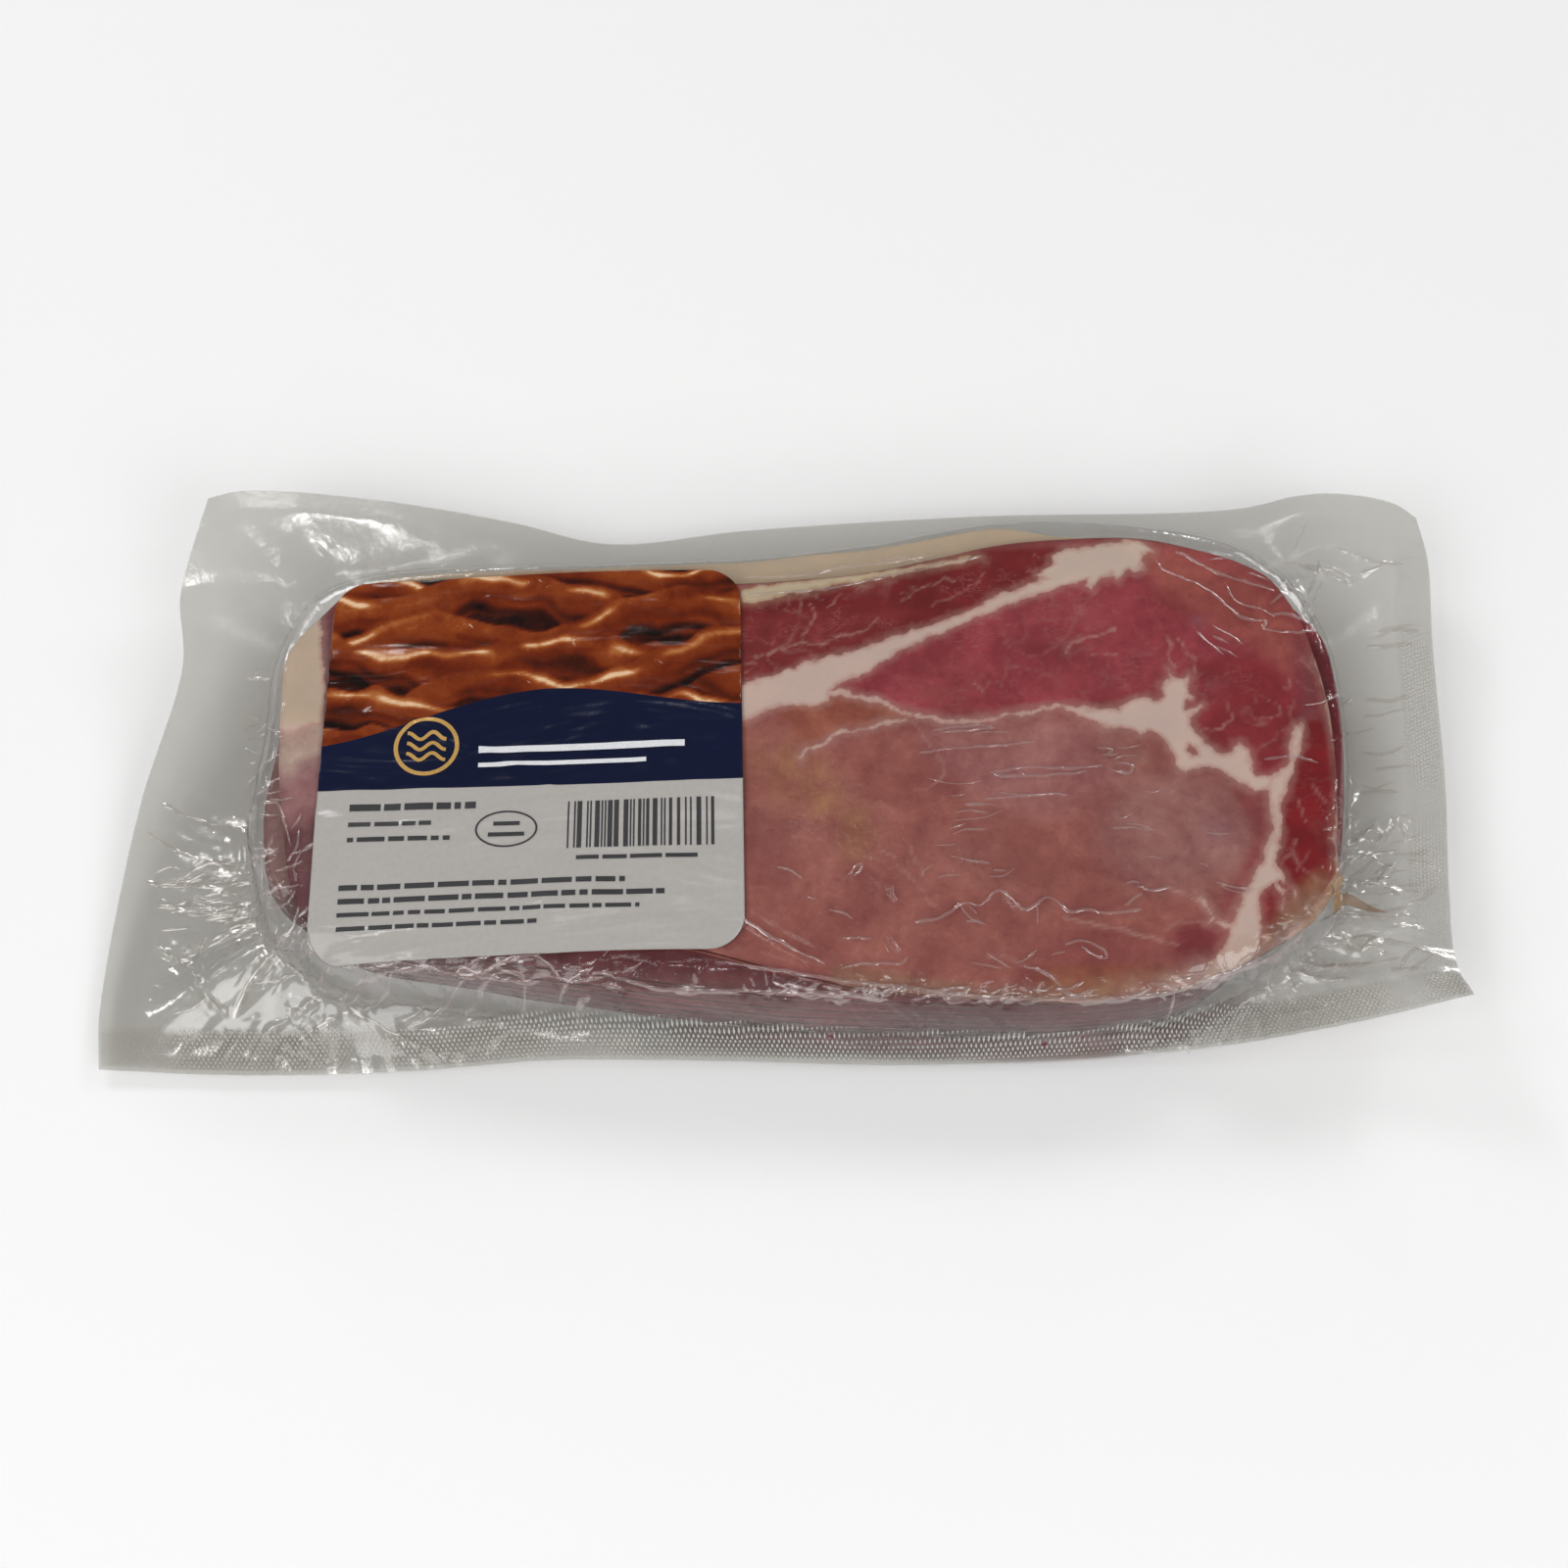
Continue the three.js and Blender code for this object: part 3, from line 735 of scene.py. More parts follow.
film_look = film_material("clear_film", 0.955, 0.92, 0.006, 0.26, 0.14, 0.12, 700, shine_loose=0.9)
seal_look = film_material("seal_film", 1.0, 1.0, 0.0, 0.0, 0.2, 0.05, 600, dots=0.85)
fold_look = film_material("folded_film", 1.0, 1.0, 0.16, 0.05, 0.19, 0.05, 900, shine_by=4.0, shine_top=0.34,
                          milk_colour=(0.66, 0.46, 0.43))
bacon_look = bacon_material("bacon")

# Film pieces.

cut = 266  # a column under the label, where the film is split in two so that neither piece is too dense
film_points = np.dstack([film_x, film_y, film_z])
film_normals = grid_normals(film_points)
# Where the film is milky: off the meat, where the bag hangs loose at the near corners, and on the near wall,
# where the milk is a painted reflection that stands for the film's whitish sheen.
loose = np.clip(1 - ramp(depth_in, -3, 1), 0, 1)
near_wall_sheen = (0.26 + 0.3 * ramp(-film_x, 30, 60)) * ramp(-film_y, 38, 48)
slack_and_sheen = low_left + 0.7 * swelling(film_x, film_y, (104, -46), (20, 14)) + near_wall_sheen
loose = np.maximum(loose, np.clip(slack_and_sheen, 0, 0.75) * (1 - ramp(depth_in, 2, 8)))
for name, part in (("film_over_label_end", slice(0, cut + 1)), ("film_over_bare_end", slice(cut, None))):
    p = film_points[part]
    piece = add_mesh(name, p, quads(*p.shape[:2]), film_look, "clear_film", normals=film_normals[part],
                     loose=loose[part])
    if part.start == 0:
        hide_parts("sealed_bag")
thinned = (slice(None, None, 2), slice(None, None, 2))
under_points = np.dstack([film_x, film_y, under_z])[thinned]
add_mesh("film_under", under_points, quads(*under_points.shape[:2], flip=True), film_look, "clear_film",
         normals=-grid_normals(under_points), loose=loose[thinned])

# The knurled seal: a lattice of small raised diamonds pressed into the film along its edges.
SEAL = 9.5  # its width
KNURL_LIFT, DIAMOND_RISE, DIAMOND_SINK = 0.12, 0.17, -0.07


def knurl(name, cell_u, cell_v, tint, strength):
    """One part of the seal, from the size of its cells, its tint, and a function for how much it shows."""
    nu, nv = int((SHEET_LENGTH + 1) / cell_u), int((SHEET_DEPTH + 1) / cell_v)
    iu, iv = np.meshgrid(np.arange(nu + 1), np.arange(nv + 1), indexing="ij")
    su, sv = grid_place(iu / nu, iv / nv)
    x, y, z, foot_in = (lookup(f, su, sv) for f in (film_x, film_y, film_z, depth_in))
    ends = {"left": iu * cell_u, "right": (nu - iu) * cell_u, "near": iv * cell_v, "far": (nv - iv) * cell_v}
    shows = strength(y, ends) * ramp(np.minimum.reduce(list(ends.values())), 0.2, 0.9)
    shows = np.clip(shows * (1 - ramp(foot_in, 0.1, 0.9)) * (0.8 + 0.45 * noise(x, y, 15, 41)), 0, 1)
    raised = (iu + iv) % 2 == 0
    z = z + KNURL_LIFT + np.where(raised, DIAMOND_RISE, DIAMOND_SINK) * shows
    pressed = shows > 0.02
    keep = pressed[:-1, :-1] & pressed[1:, :-1] & pressed[1:, 1:] & pressed[:-1, 1:]
    cells = quads(nu + 1, nv + 1).reshape(nu, nv, 4)
    peaked, sunk = raised[:-1, :-1] & keep, ~raised[:-1, :-1] & keep
    faces = np.vstack([cells[peaked][:, [0, 1, 3]], cells[peaked][:, [1, 2, 3]],
                       cells[sunk][:, [0, 1, 2]], cells[sunk][:, [0, 2, 3]]])
    used, faces = np.unique(faces, return_inverse=True)
    # The raised diamonds are marked for the seal's material, which paints them lighter as a painted
    # highlight.
    add_mesh(name, np.dstack([x, y, z]).reshape(-1, 3)[used], faces.reshape(-1, 3), seal_look, "clear_film",
             smooth=False, loose=np.ones(len(used)), dot=(raised * np.clip(1.3 * shows, 0, 1)).ravel()[used],
             pressed_in=tint * shows.ravel()[used])


def band(gap):
    return 1 - ramp(gap, SEAL - 2.5, SEAL)


def end_strength(y, ends):
    right, left = 0.7 * ramp(60 - y, 0, 14), 0.45 * ramp(-y, -5, 20)
    beyond = ramp(ends["near"], SEAL - 3, SEAL - 0.5)
    return beyond * np.maximum(band(ends["right"]) * right, band(ends["left"]) * left)


knurl("seal", 0.5, 0.75, 0.85, lambda y, ends: band(ends["near"]))
knurl("seal_at_ends", 0.75, 0.5, 0.3, end_strength)

# Pinched folds: ribs of doubled film that stand a little above the sheet and catch the light.
RIB_STEP, RIB_LIFT = 0.45, 0.015
rib_points, rib_faces, rib_loose = [], [], []


def rib(path, height, half):
    """One rib along a path of drawing points."""
    p = spline(path, max(6, int(run_along(path)[-1] / RIB_STEP)))
    seed = int(abs(path[0][0] * 7 + path[0][1] * 13)) + len(rib_points)
    run = np.arange(len(p)) * RIB_STEP
    aside = square_to(np.gradient(p, axis=0))
    p = p + aside * (0.16 * noise(run, run * 0, 1.9, seed))[:, None]
    ends = np.clip(np.minimum(run, run[::-1]) / 1.2, 0, 1)
    tall = height * ends * np.clip(0.62 + 0.5 * noise(run, run * 0, 2.3, seed + 1), 0.15, 1)
    wide = half * (0.55 + 0.45 * ends) * (0.85 + 0.3 * noise(run, run * 0, 3.1, seed + 2))
    steps = np.array([-1, -0.5, 0, 0.5, 1])
    x = p[:, :1] + aside[:, :1] * steps * wide[:, None]
    y = p[:, 1:] + aside[:, 1:] * steps * wide[:, None]
    z = on_film(x, y) + RIB_LIFT + tall[:, None] * np.array([0, 0.6, 1, 0.6, 0])
    rib_faces.append(quads(len(p), 5, sum(len(q) for q in rib_points)))
    rib_points.append(np.dstack([x, y, z]).reshape(-1, 3))
    rib_loose.append((1 - ramp(on_film(x, y, depth_in), -3, 1)).ravel())


for height, half, pixels in CREASES:
    rib(picked(pixels)[:, :2], 0.10 + 0.45 * height, 0.14 + 0.3 * half)

# Families of short ribs: box in pixels, count, lean in degrees and its spread, shortest and longest,
# height and half width.
FAMILIES = [
    ((940, 745, 1170, 880), 18, 2, 9, 3, 11, 0.1, 0.24),
    ((780, 880, 1240, 985), 18, 10, 40, 1.5, 6, 0.1, 0.24),
    ((610, 1014, 1225, 1034), 44, 6, 10, 1.5, 6, 0.25, 0.35),
    ((150, 885, 240, 960), 26, 5, 9, 4, 13, 0.25, 0.5),
    ((170, 930, 330, 1040), 12, 48, 14, 3, 10, 0.3, 0.5),
    ((330, 990, 600, 1050), 10, 28, 14, 3, 9, 0.25, 0.4),
    ((1372, 600, 1425, 830), 10, 3, 5, 4, 11, 0.08, 0.5),
    ((1368, 840, 1440, 930), 16, 22, 18, 2, 8, 0.25, 0.5),
    ((1300, 935, 1440, 1015), 16, 8, 18, 3, 10, 0.3, 0.5),
    ((1190, 565, 1330, 660), 8, -22, 16, 3, 9, 0.13, 0.3),
    ((262, 830, 300, 900), 4, 70, 12, 2, 5, 0.2, 0.3),
    ((1140, 830, 1330, 905), 7, -4, 12, 2, 7, 0.1, 0.24),
    ((880, 1012, 920, 1050), 26, 50, 30, 0.8, 2.4, 0.3, 0.35),
    ((1292, 560, 1345, 640), 9, 65, 14, 3, 8, 0.2, 0.35),
    ((262, 860, 330, 975), 26, 60, 35, 2, 7, 0.4, 0.4),
    ((248, 690, 276, 900), 34, 8, 28, 1.5, 5, 0.35, 0.35),
    ((300, 955, 620, 1015), 20, 24, 16, 2, 8, 0.3, 0.4),
]
for (x0, y0, x1, y1), count, lean, spread, short, long, height, half in FAMILIES:
    for _ in range(count):
        start = picked([(rng.uniform(x0, x1), rng.uniform(y0, y1))])[0, :2]
        angle = math.radians(rng.normal(lean, spread))
        length = rng.uniform(short, long)
        bend = rng.uniform(-0.14, 0.14) * length
        way = np.array([math.cos(angle), math.sin(angle)])
        middle = start + way * length / 2 + bend * np.array([-way[1], way[0]])
        tall = height * rng.uniform(0.6, 1.3)
        rib(np.array([start, middle, start + way * length]), tall, half * rng.uniform(0.7, 1.2))
add_mesh("film_folds", np.vstack(rib_points), np.vstack(rib_faces), fold_look, "clear_film",
         loose=np.concatenate(rib_loose))

# Rashers.

LAYERS = 8
STACK_FOOT, STACK_RISE, LAYER_GAP = 0.5, 23.6, 0.05
UNDER_FACE = 0.9  # how far under the bag's face the top rasher's meat would end
FOOT_LEVEL, SHOULDER, UNDER_RUN, ROUNDNESS = 8.6, 7.5, 6.0, 2.3


def face_level(x, y):
    """The level that the tops of the rashers would have without their rounded rim."""
    tails = 3.2 * ramp(-x, 20, 110)
    hollows = 0.5 * np.sin(x / 19 + 0.7) * np.cos(y / 16) + 0.35 * np.sin((x + 2 * y) / 27)
    return 25.4 + 0.03 * y - tails + hollows


def wall_inset(level):
    """How far in from the stack's foot the bag's wall is at a level."""
    if level > FOOT_LEVEL:
        rise, run = min((level - FOOT_LEVEL) / (FACE_HEIGHT - FOOT_LEVEL), 0.97), SHOULDER
    else:
        rise, run = min((FOOT_LEVEL - level) / (FOOT_LEVEL - 0.4), 0.97), UNDER_RUN
    return run * (1 - (1 - rise ** ROUNDNESS) ** (1 / ROUNDNESS))


def shifted_outline(outline, inset):
    """The outline moved inwards by its own amount at each point."""
    ways = (np.roll(outline, -3, 0) - np.roll(outline, 3, 0))[:, :2]
    return outline[:, :2] + square_to(ways) * inset[:, None]


def four_edges(outline, corners):
    """Cuts a closed outline at the points nearest to four corners, from near left round to far left."""
    at = [int(np.argmin(np.hypot(*(outline - c).T))) for c in corners]
    arcs = []
    for a, b in zip(at, at[1:] + at[:1]):
        arc = outline[np.arange(a, b + 1 if b > a else b + 1 + len(outline)) % len(outline)]
        run = run_along(arc)
        even = np.linspace(0, run[-1], 400)
        arcs.append(np.stack([np.interp(even, run, arc[:, k]) for k in (0, 1)], 1))
    return arcs[0], arcs[1], arcs[2][::-1], arcs[3][::-1]


def rim_spacing(count, length):
    first = np.array([0, 0.35, 0.9, 1.7]) / length
    return np.concatenate([first, np.linspace(first[-1], 1 - first[-1], count)[1:-1], 1 - first[::-1]])


LOWER_LENGTH, LOWER_DEPTH = 225, 105
CORNERS = np.array([(-108, -36), (106, -42), (112, 44), (-106, 46)])
turn = np.linspace(0, 2 * np.pi, len(stack_edge), endpoint=False)
foot_x, foot_y = stack_edge.T

# How much further in than the wall they lie, where the bag hangs loose round them.
recess = np.interp(foot_x, [-112, -100, -85, -64, -52, -40, -28, 0], [2, 7, 5.5, 4.6, 3.4, 2.6, 1.6, 0])
recess *= ramp(-foot_y, 24, 40)
recess += 5 * swelling(foot_x, foot_y, (-106, 44), (12, 16))
recess += 4.5 * swelling(foot_x, foot_y, (101, -46), (17, 15))
recess += 3.2 * ramp(foot_y, 26, 42) * ramp(foot_x, 44, 62) + 2.0 * ramp(-foot_x, 100, 108)
for layer in range(1, LAYERS):
    share_top, share_low = 1 - layer / LAYERS, 1 - (layer + 1) / LAYERS
    top_mid, low_mid = (STACK_FOOT + STACK_RISE * share for share in (share_top, share_low))
    wobble = sum(np.sin(turn * k + rng.uniform(0, 6.28)) / k ** 0.5 for k in (1, 2, 3, 5, 8, 13)) / 3
    inset = max(wall_inset(top_mid), wall_inset(low_mid)) + 0.5 + 0.35 * (1 + wobble) + recess
    u, v = rim_spacing(100, LOWER_LENGTH), rim_spacing(44, LOWER_DEPTH)
    xy = coons(*four_edges(shifted_outline(stack_edge, inset), CORNERS), u, v)
    x, y = xy[..., 0], xy[..., 1]
    rim = rim_distance(u, v, LOWER_LENGTH, LOWER_DEPTH)
    level = face_level(x, y) - UNDER_FACE
    top = STACK_FOOT - LAYER_GAP + level * share_top
    low = STACK_FOOT + level * share_low
    middle = (top + low) / 2
    thick = (top - low) / 2 * np.sqrt(1 - (1 - np.clip(rim / 0.5, 0.25, 1)) ** 2)
    sag = 0.25 * noise(x, y, 14, 100 + layer)
    angle = np.arctan2(y * 2, x)
    rind = 1.3 * noise(angle * 7, x * 0 + layer * 7, 2, 120 + layer) - 0.5
    rimmed = ramp(y, 20, 30) * (1 - ramp(x, 60, 84))
    fat = (rind - 1.1 - 0.35 * rim) * (1 - rimmed) + (rind + 2.2 - 0.1 * rim) * rimmed
    fat = np.where((x > 104) & (y < 28), rind + 0.2 - 0.35 * rim, fat)
    tone = towards(linear("70373b"), "741c26", ramp(x, 60, 108))
    tone = towards(tone, "7c5859", 1 - ramp(x, -90, -25))
    tone = towards(tone, "93716c", 1 - ramp(x, -108, -90))
    tone *= (0.95 + 0.22 * noise(angle * 9, x * 0 + layer * 0.3, 1.5, 140))[..., None]
    fat_tone = towards(linear("8d7068"), "b9a68f", ramp(y, 10, 34))
    slab(f"rasher_{layer + 1}", xy, middle + thick + sag, middle - thick + sag, bacon_look, "bacon",
         fat=fat, tone=tone, fat_tone=fat_tone, vein=np.zeros_like(x), streaks=np.full_like(x, 0.15))

# The top rasher, outlined in the picture's pixels. Under the label it is guessed.
TOP_RASHER = (
    "296,905 318,942 345,958 420,964 520,960 620,960 700,964 752,976 800,989 860,1003 930,1012 1000,1018 "
    "1075,1022 1130,1021 1190,1012 1235,1003 1262,995 1290,985 1327,964 1353,940 1366,912 1367,880 "
    "1367,820 1364,770 1357,720 1346,678 1328,630 1300,592 1262,570 1215,556 1160,546 1085,547 1020,553 "
    "960,566 880,582 765,592 700,592 600,590 450,592 360,602 322,632 293,665 285,720 283,790 288,850"
)

# Fat on the top rasher, outlined in the same pixels.
FAT_SHAPES = [
    "1095,724 1108,722 1140,723 1155,713 1168,711 1184,714 1188,697 1194,690 1191,680 1199,690 1207,694 "
     "1213,687 1211,700 1218,713 1212,712 1209,722 1222,720 1226,716 1221,724 1215,728 1216,740 1222,748 "
     "1230,757 1240,765 1250,769 1258,768 1260,758 1268,757 1275,764 1277,782 1281,792 1293,792 1300,794 "
     "1297,806 1282,805 1268,800 1256,792 1245,785 1235,781 1218,783 1210,787 1203,783 1200,775 1196,765 "
     "1190,755 1180,748 1172,745 1165,748 1155,744 1140,741 1125,741 1113,735",
    "1321,740 1327,737 1331,748 1328,760 1322,775 1317,790 1313,806 1308,820 1307,845 1306,862 1301,880 "
     "1311,892 1319,905 1322,918 1317,905 1306,898 1296,903 1287,912 1285,930 1288,950 1283,970 1277,985 "
     "1262,990 1240,996 1220,1002 1235,988 1247,970 1255,955 1257,945 1263,930 1269,915 1276,898 1285,885 "
     "1291,868 1297,850 1299,838 1297,822 1294,808 1290,798 1300,792 1309,785 1316,772 1318,755",
    "1060,586 1085,560 1110,558 1135,552 1160,550 1170,555 1178,562 1168,566 1165,580 1158,584 1150,580 "
     "1143,590 1135,586 1125,588 1120,592 1113,599 1106,597 1108,590 1085,596",
    "700,716 760,697 800,683 840,670 880,660 920,645 940,640 960,633 1000,618 1015,607 1040,600 1080,584 "
     "1110,578 1120,588 1080,600 1040,612 1000,628 980,636 960,645 940,654 920,661 895,680 870,690 "
     "847,702 846,715 840,718 810,718 780,725 760,735 700,750",
    "255,625 300,596 332,590 332,700 328,738 312,740 298,750 278,746 255,760",
]

# Narrow seams of fat: points, each with the width there in pixels.
FAT_LINES = [
    "840,703,7 860,706,7 880,711,7 905,717,6 920,725,5 935,729,4 955,733,4 975,736,4 1000,735,4 "
     "1040,727,4.5 1080,720,5 1095,721,7 1112,727,11",
    "925,733,3 905,737,3.5 880,743,3.5 855,748,4 840,757,3.5 822,763,3.5 817,773,2.5",
    "1219,726,3 1228,717,2",
    "1305,904,6 1309,912,5 1311,925,2.5",
    "1226,916,3 1234,925,5 1240,934,5 1236,940,4 1256,944,4",
    "765,606,20 800,600,17 850,592,13 880,588,11 940,578,7 1000,568,4",
    "1190,1008,3 1215,1003,6 1240,996,9",
    "1343,672,2 1353,700,6 1359,732,6 1363,760,1",
    "1364,815,1 1365,835,5 1363,870,4 1364,890,8 1362,908,14 1353,928,20 1330,952,16 1305,976,10",
]

# Veins, thinner and fainter: width in pixels, strength from 0 to 1, and points.
VEINS = [
    (3, 0.6, "784,666 812,657 840,655 862,646 880,645 895,630"),
    (2.5, 0.55, "820,648 826,638 832,622 828,615"),
    (2.5, 0.5, "845,620 860,605"),
    (3, 0.55, "920,612 935,602 950,595 965,590 975,592"),
    (2.5, 0.4, "950,617 990,600 1003,585"),
    (2.5, 0.4, "800,620 825,630"),
    (2.5, 0.4, "1055,562 1066,572 1072,582"),
    (2.5, 0.6, "1137,641 1110,650 1095,654 1088,668"),
    (3.5, 0.6, "1190,647 1196,655 1193,668 1198,678"),
    (3.5, 0.55, "1203,652 1212,662 1219,676 1218,690"),
    (2.5, 0.6, "1258,733 1248,740 1228,745"),
    (2, 0.35, "1258,733 1252,722 1254,712"),
    (3, 0.4, "993,690 1003,705"),
    (2, 0.4, "1115,666 1140,668"),
    (4, 0.35, "930,735 943,748 952,765 965,783 958,797 940,805"),
    (3, 0.45, "900,868 912,875 925,893 945,910 955,925"),
    (3, 0.4, "930,862 932,872 942,886 945,897"),
    (5, 0.6, "1085,935 1110,942 1140,947 1180,957 1200,962"),
    (5, 0.6, "1190,905 1217,915 1232,922 1245,938"),
    (4, 0.4, "1230,940 1200,940 1190,948"),
    (4, 0.5, "1010,973 1035,978 1055,988 1075,995 1082,1005"),
    (4, 0.4, "1318,862 1325,880 1340,893 1358,903"),
    (4, 0.5, "1325,815 1332,835"),
    (5, 0.35, "1340,800 1352,818"),
    (4, 0.35, "1310,880 1318,868 1322,856"),
    (3, 0.3, "1324,888 1338,868"),
    (3, 0.5, "1321,745 1318,728 1320,712"),
    (3, 0.5, "1308,700 1316,702 1314,694"),
]

UPPER_LENGTH, UPPER_DEPTH = 218, 102
rasher_outline = spline(picked(TOP_RASHER)[:, :2], 700, closed=True)
for _ in range(6):  # keep it inside the bag's shoulder
    room = 3.0 - 1.3 * ramp(rasher_outline[:, 0], 96, 108)
    short = room - inside_by(rasher_outline[:, 0], rasher_outline[:, 1], stack_edge[::2])
    rasher_outline = shifted_outline(rasher_outline, np.clip(short, 0, 2))
edges = four_edges(rasher_outline, np.array([(-104, -38), (98, -42), (104, 42), (-102, 44)]))
u = np.unique(np.concatenate([rim_spacing(50, UPPER_LENGTH), spacing(225, [(0.43, 1.0, 3.4)])]))
u = u[np.concatenate([[True], np.diff(u) > 0.0006])]
v = rim_spacing(176, UPPER_DEPTH)
xy = coons(*edges, u, v)
x, y = xy[..., 0], xy[..., 1]

# Fat and veins are drawn with a little unevenness.
wx = x + 0.32 * noise(x, y, 1.9, 201) + 0.16 * noise(x, y, 0.9, 202)
wy = y + 0.32 * noise(x, y, 1.9, 203) + 0.16 * noise(x, y, 0.9, 204)
fat = np.full(x.shape, -30.0)
for pixels in FAT_LINES:
    where = picked(pixels)[:, :2]
    gap, along = line_distance(wx, wy, where)
    run = run_along(where)
    half = np.interp(along, run / run[-1], spots(pixels)[:, 2] / 2 / PIXELS_PER_MM)
    fat = np.maximum(fat, half - gap)
for pixels in FAT_SHAPES:
    fat = np.maximum(fat, inside_by(wx, wy, picked(pixels)))
island = picked("1213,758 1220,763 1223,770 1217,770 1212,764")
fat = np.minimum(fat, -inside_by(x, y, island))
vein = np.zeros(x.shape)
for width, strength, pixels in VEINS:
    where = picked(pixels)[:, :2]
    gap, _ = line_distance(wx, wy, spline(where, 4 * len(where)))
    vein = np.maximum(vein, 0.85 * strength * np.clip(1 - gap / (0.07 * width + 0.2), 0, 1))

# Muscles: colour, how far each fades at its edge in millimetres, how streaked it is, and its outline.
MUSCLES = [
    ("711a1d", 2, 0.45, "700,600 760,605 880,590 1020,560 1110,565 1120,582 1020,610 936,645 880,668 "
     "845,680 755,715 700,730"),
    ("7a2727", 5, 0.5, "700,640 800,628 880,622 930,620 880,655 800,680 700,712"),
    ("90373f", 2, 0.25, "850,700 940,655 1020,617 1120,585 1180,560 1260,575 1330,640 1330,740 1316,785 "
     "1290,792 1260,760 1200,712 1100,718 1034,725 950,732 900,715"),
    ("974c45", 8, 0.1, "1160,560 1230,568 1300,600 1330,650 1310,690 1280,660 1240,640 1180,600"),
    ("7e3a3d", 5, 0.4, "1322,650 1336,655 1350,710 1352,760 1330,760 1326,700"),
    ("83272d", 5, 0.35, "1225,680 1290,672 1316,700 1318,770 1290,790 1275,760 1250,762 1222,735"),
    ("925040", 2.5, 0.1, "850,705 905,719 930,732 900,738 850,748 820,762 790,740 800,722"),
    ("94564e", 4, 0.15, "700,745 800,730 820,770 860,752 936,742 1034,738 1100,730 1190,755 1215,790 "
     "1270,808 1297,835 1290,880 1250,955 1180,1000 1075,1015 930,1008 800,985 700,975"),
    ("98605d", 9, 0.1, "940,740 1040,735 1100,732 1150,745 1140,800 1060,830 980,800"),
    ("95625d", 9, 0.1, "1140,800 1240,790 1290,830 1285,880 1230,905 1150,900 1120,850"),
    ("8c4646", 3.5, 0.1, "1260,805 1296,815 1297,850 1285,885 1262,915 1240,935 1270,880 1280,850"),
    ("8f4d48", 5, 0.15, "1085,950 1150,950 1210,962 1235,975 1190,990 1110,1005 1050,1005 1060,970"),
    ("7f3438", 4, 0.1, "1205,943 1245,941 1250,955 1236,975 1215,978 1195,965"),
    ("88483a", 3.5, 0, "1060,990 1130,985 1190,985 1220,990 1150,1012 1060,1016"),
    ("8a5c4c", 3, 0, "850,985 900,990 1000,1005 1080,1010 1080,1022 960,1018 850,1005"),
    ("791118", 1.5, 0.25, "1313,780 1328,740 1348,735 1358,790 1360,900 1322,925 1303,885 1306,840"),
    ("821e26", 1.5, 0.2, "1288,905 1320,900 1325,930 1290,965 1286,930"),
    ("86563f", 5, 0.1, "1325,905 1350,890 1345,930 1300,970 1288,985 1290,960"),
    ("6a4346", 4, 0.2, "270,640 325,600 325,980 270,900"),
    ("8f6263", 5, 0.2, "275,740 325,740 325,835 275,835"),
    ("a88a80", 8, 0, "262,730 330,725 330,768 302,786 262,796"),
]

# Softer patches of colour: centre, reach in pixels, colour and strength.
PATCHES = [
    ((1085, 1013), 18, "96664a", 0.6), ((1125, 1013), 18, "9c7454", 0.6), ((1165, 1008), 18, "a5806c", 0.7),
    ((1200, 1002), 16, "b0907c", 0.9), ((1228, 992), 14, "b3968a", 0.8), ((1160, 775), 16, "a2796c", 0.5),
    ((1295, 960), 12, "a06a50", 0.7), ((1318, 940), 12, "a87f5c", 0.7),
    ((811, 792), 26, "a2714c", 0.9), ((835, 812), 20, "a06f4c", 0.7), ((878, 838), 20, "90643f", 0.6),
    ((785, 765), 26, "8e5a46", 0.7), ((870, 862), 15, "90643f", 0.4), ((770, 830), 40, "86504a", 0.5),
    ((1240, 700), 14, "86464e", 0.4), ((1222, 632), 9, "8a5a68", 0.5), ((1246, 852), 18, "8a6470", 0.35),
    ((1005, 870), 40, "87524e", 0.5), ((1055, 905), 30, "8b5248", 0.5), ((1150, 760), 30, "8c5d52", 0.5),
    ((1090, 640), 40, "843a3c", 0.5), ((1150, 700), 40, "782c32", 0.4), ((960, 700), 40, "843f3c", 0.4),
]
tone = linear("85403f")
streaks = np.full(x.shape, 0.2)
for colour, fade, lines, pixels in MUSCLES:
    shape = spline(picked(pixels)[:, :2], 80, closed=True)
    amount = ramp(inside_by(x, y, shape), -fade / 2, fade / 2)
    tone = towards(tone, colour, amount)
    streaks += (lines - streaks) * amount
web = np.maximum(crumple(wx * 0.8, wy * 1.3, 7.5, 301, 7), 0.7 * crumple(wx, wy * 1.2, 3.8, 302, 5))
vein = np.maximum(vein, 1.4 * np.clip(streaks - 0.12, 0, 1) * web * ramp(noise(x, y, 11, 303), -0.7, 0.6))
for (px, py), reach, colour, strength in PATCHES:
    at = picked([(px, py)])[0]
    gap = np.hypot(x - at[0], y - at[1]) / (reach / PIXELS_PER_MM)
    amount = strength * np.exp(-gap ** 2) * (0.8 + 0.5 * noise(x, y, 3.5, int(px)))
    tone = towards(tone, colour, np.clip(amount, 0, 1))

# Cloudy unevenness over all the meat.
cloud = 0.6 * noise(wx, wy, 6.5, 311) + 0.4 * noise(wx, wy, 2.8, 312)
tone *= 1 + np.stack([0.08 * cloud, 0.14 * cloud, 0.13 * cloud], -1)

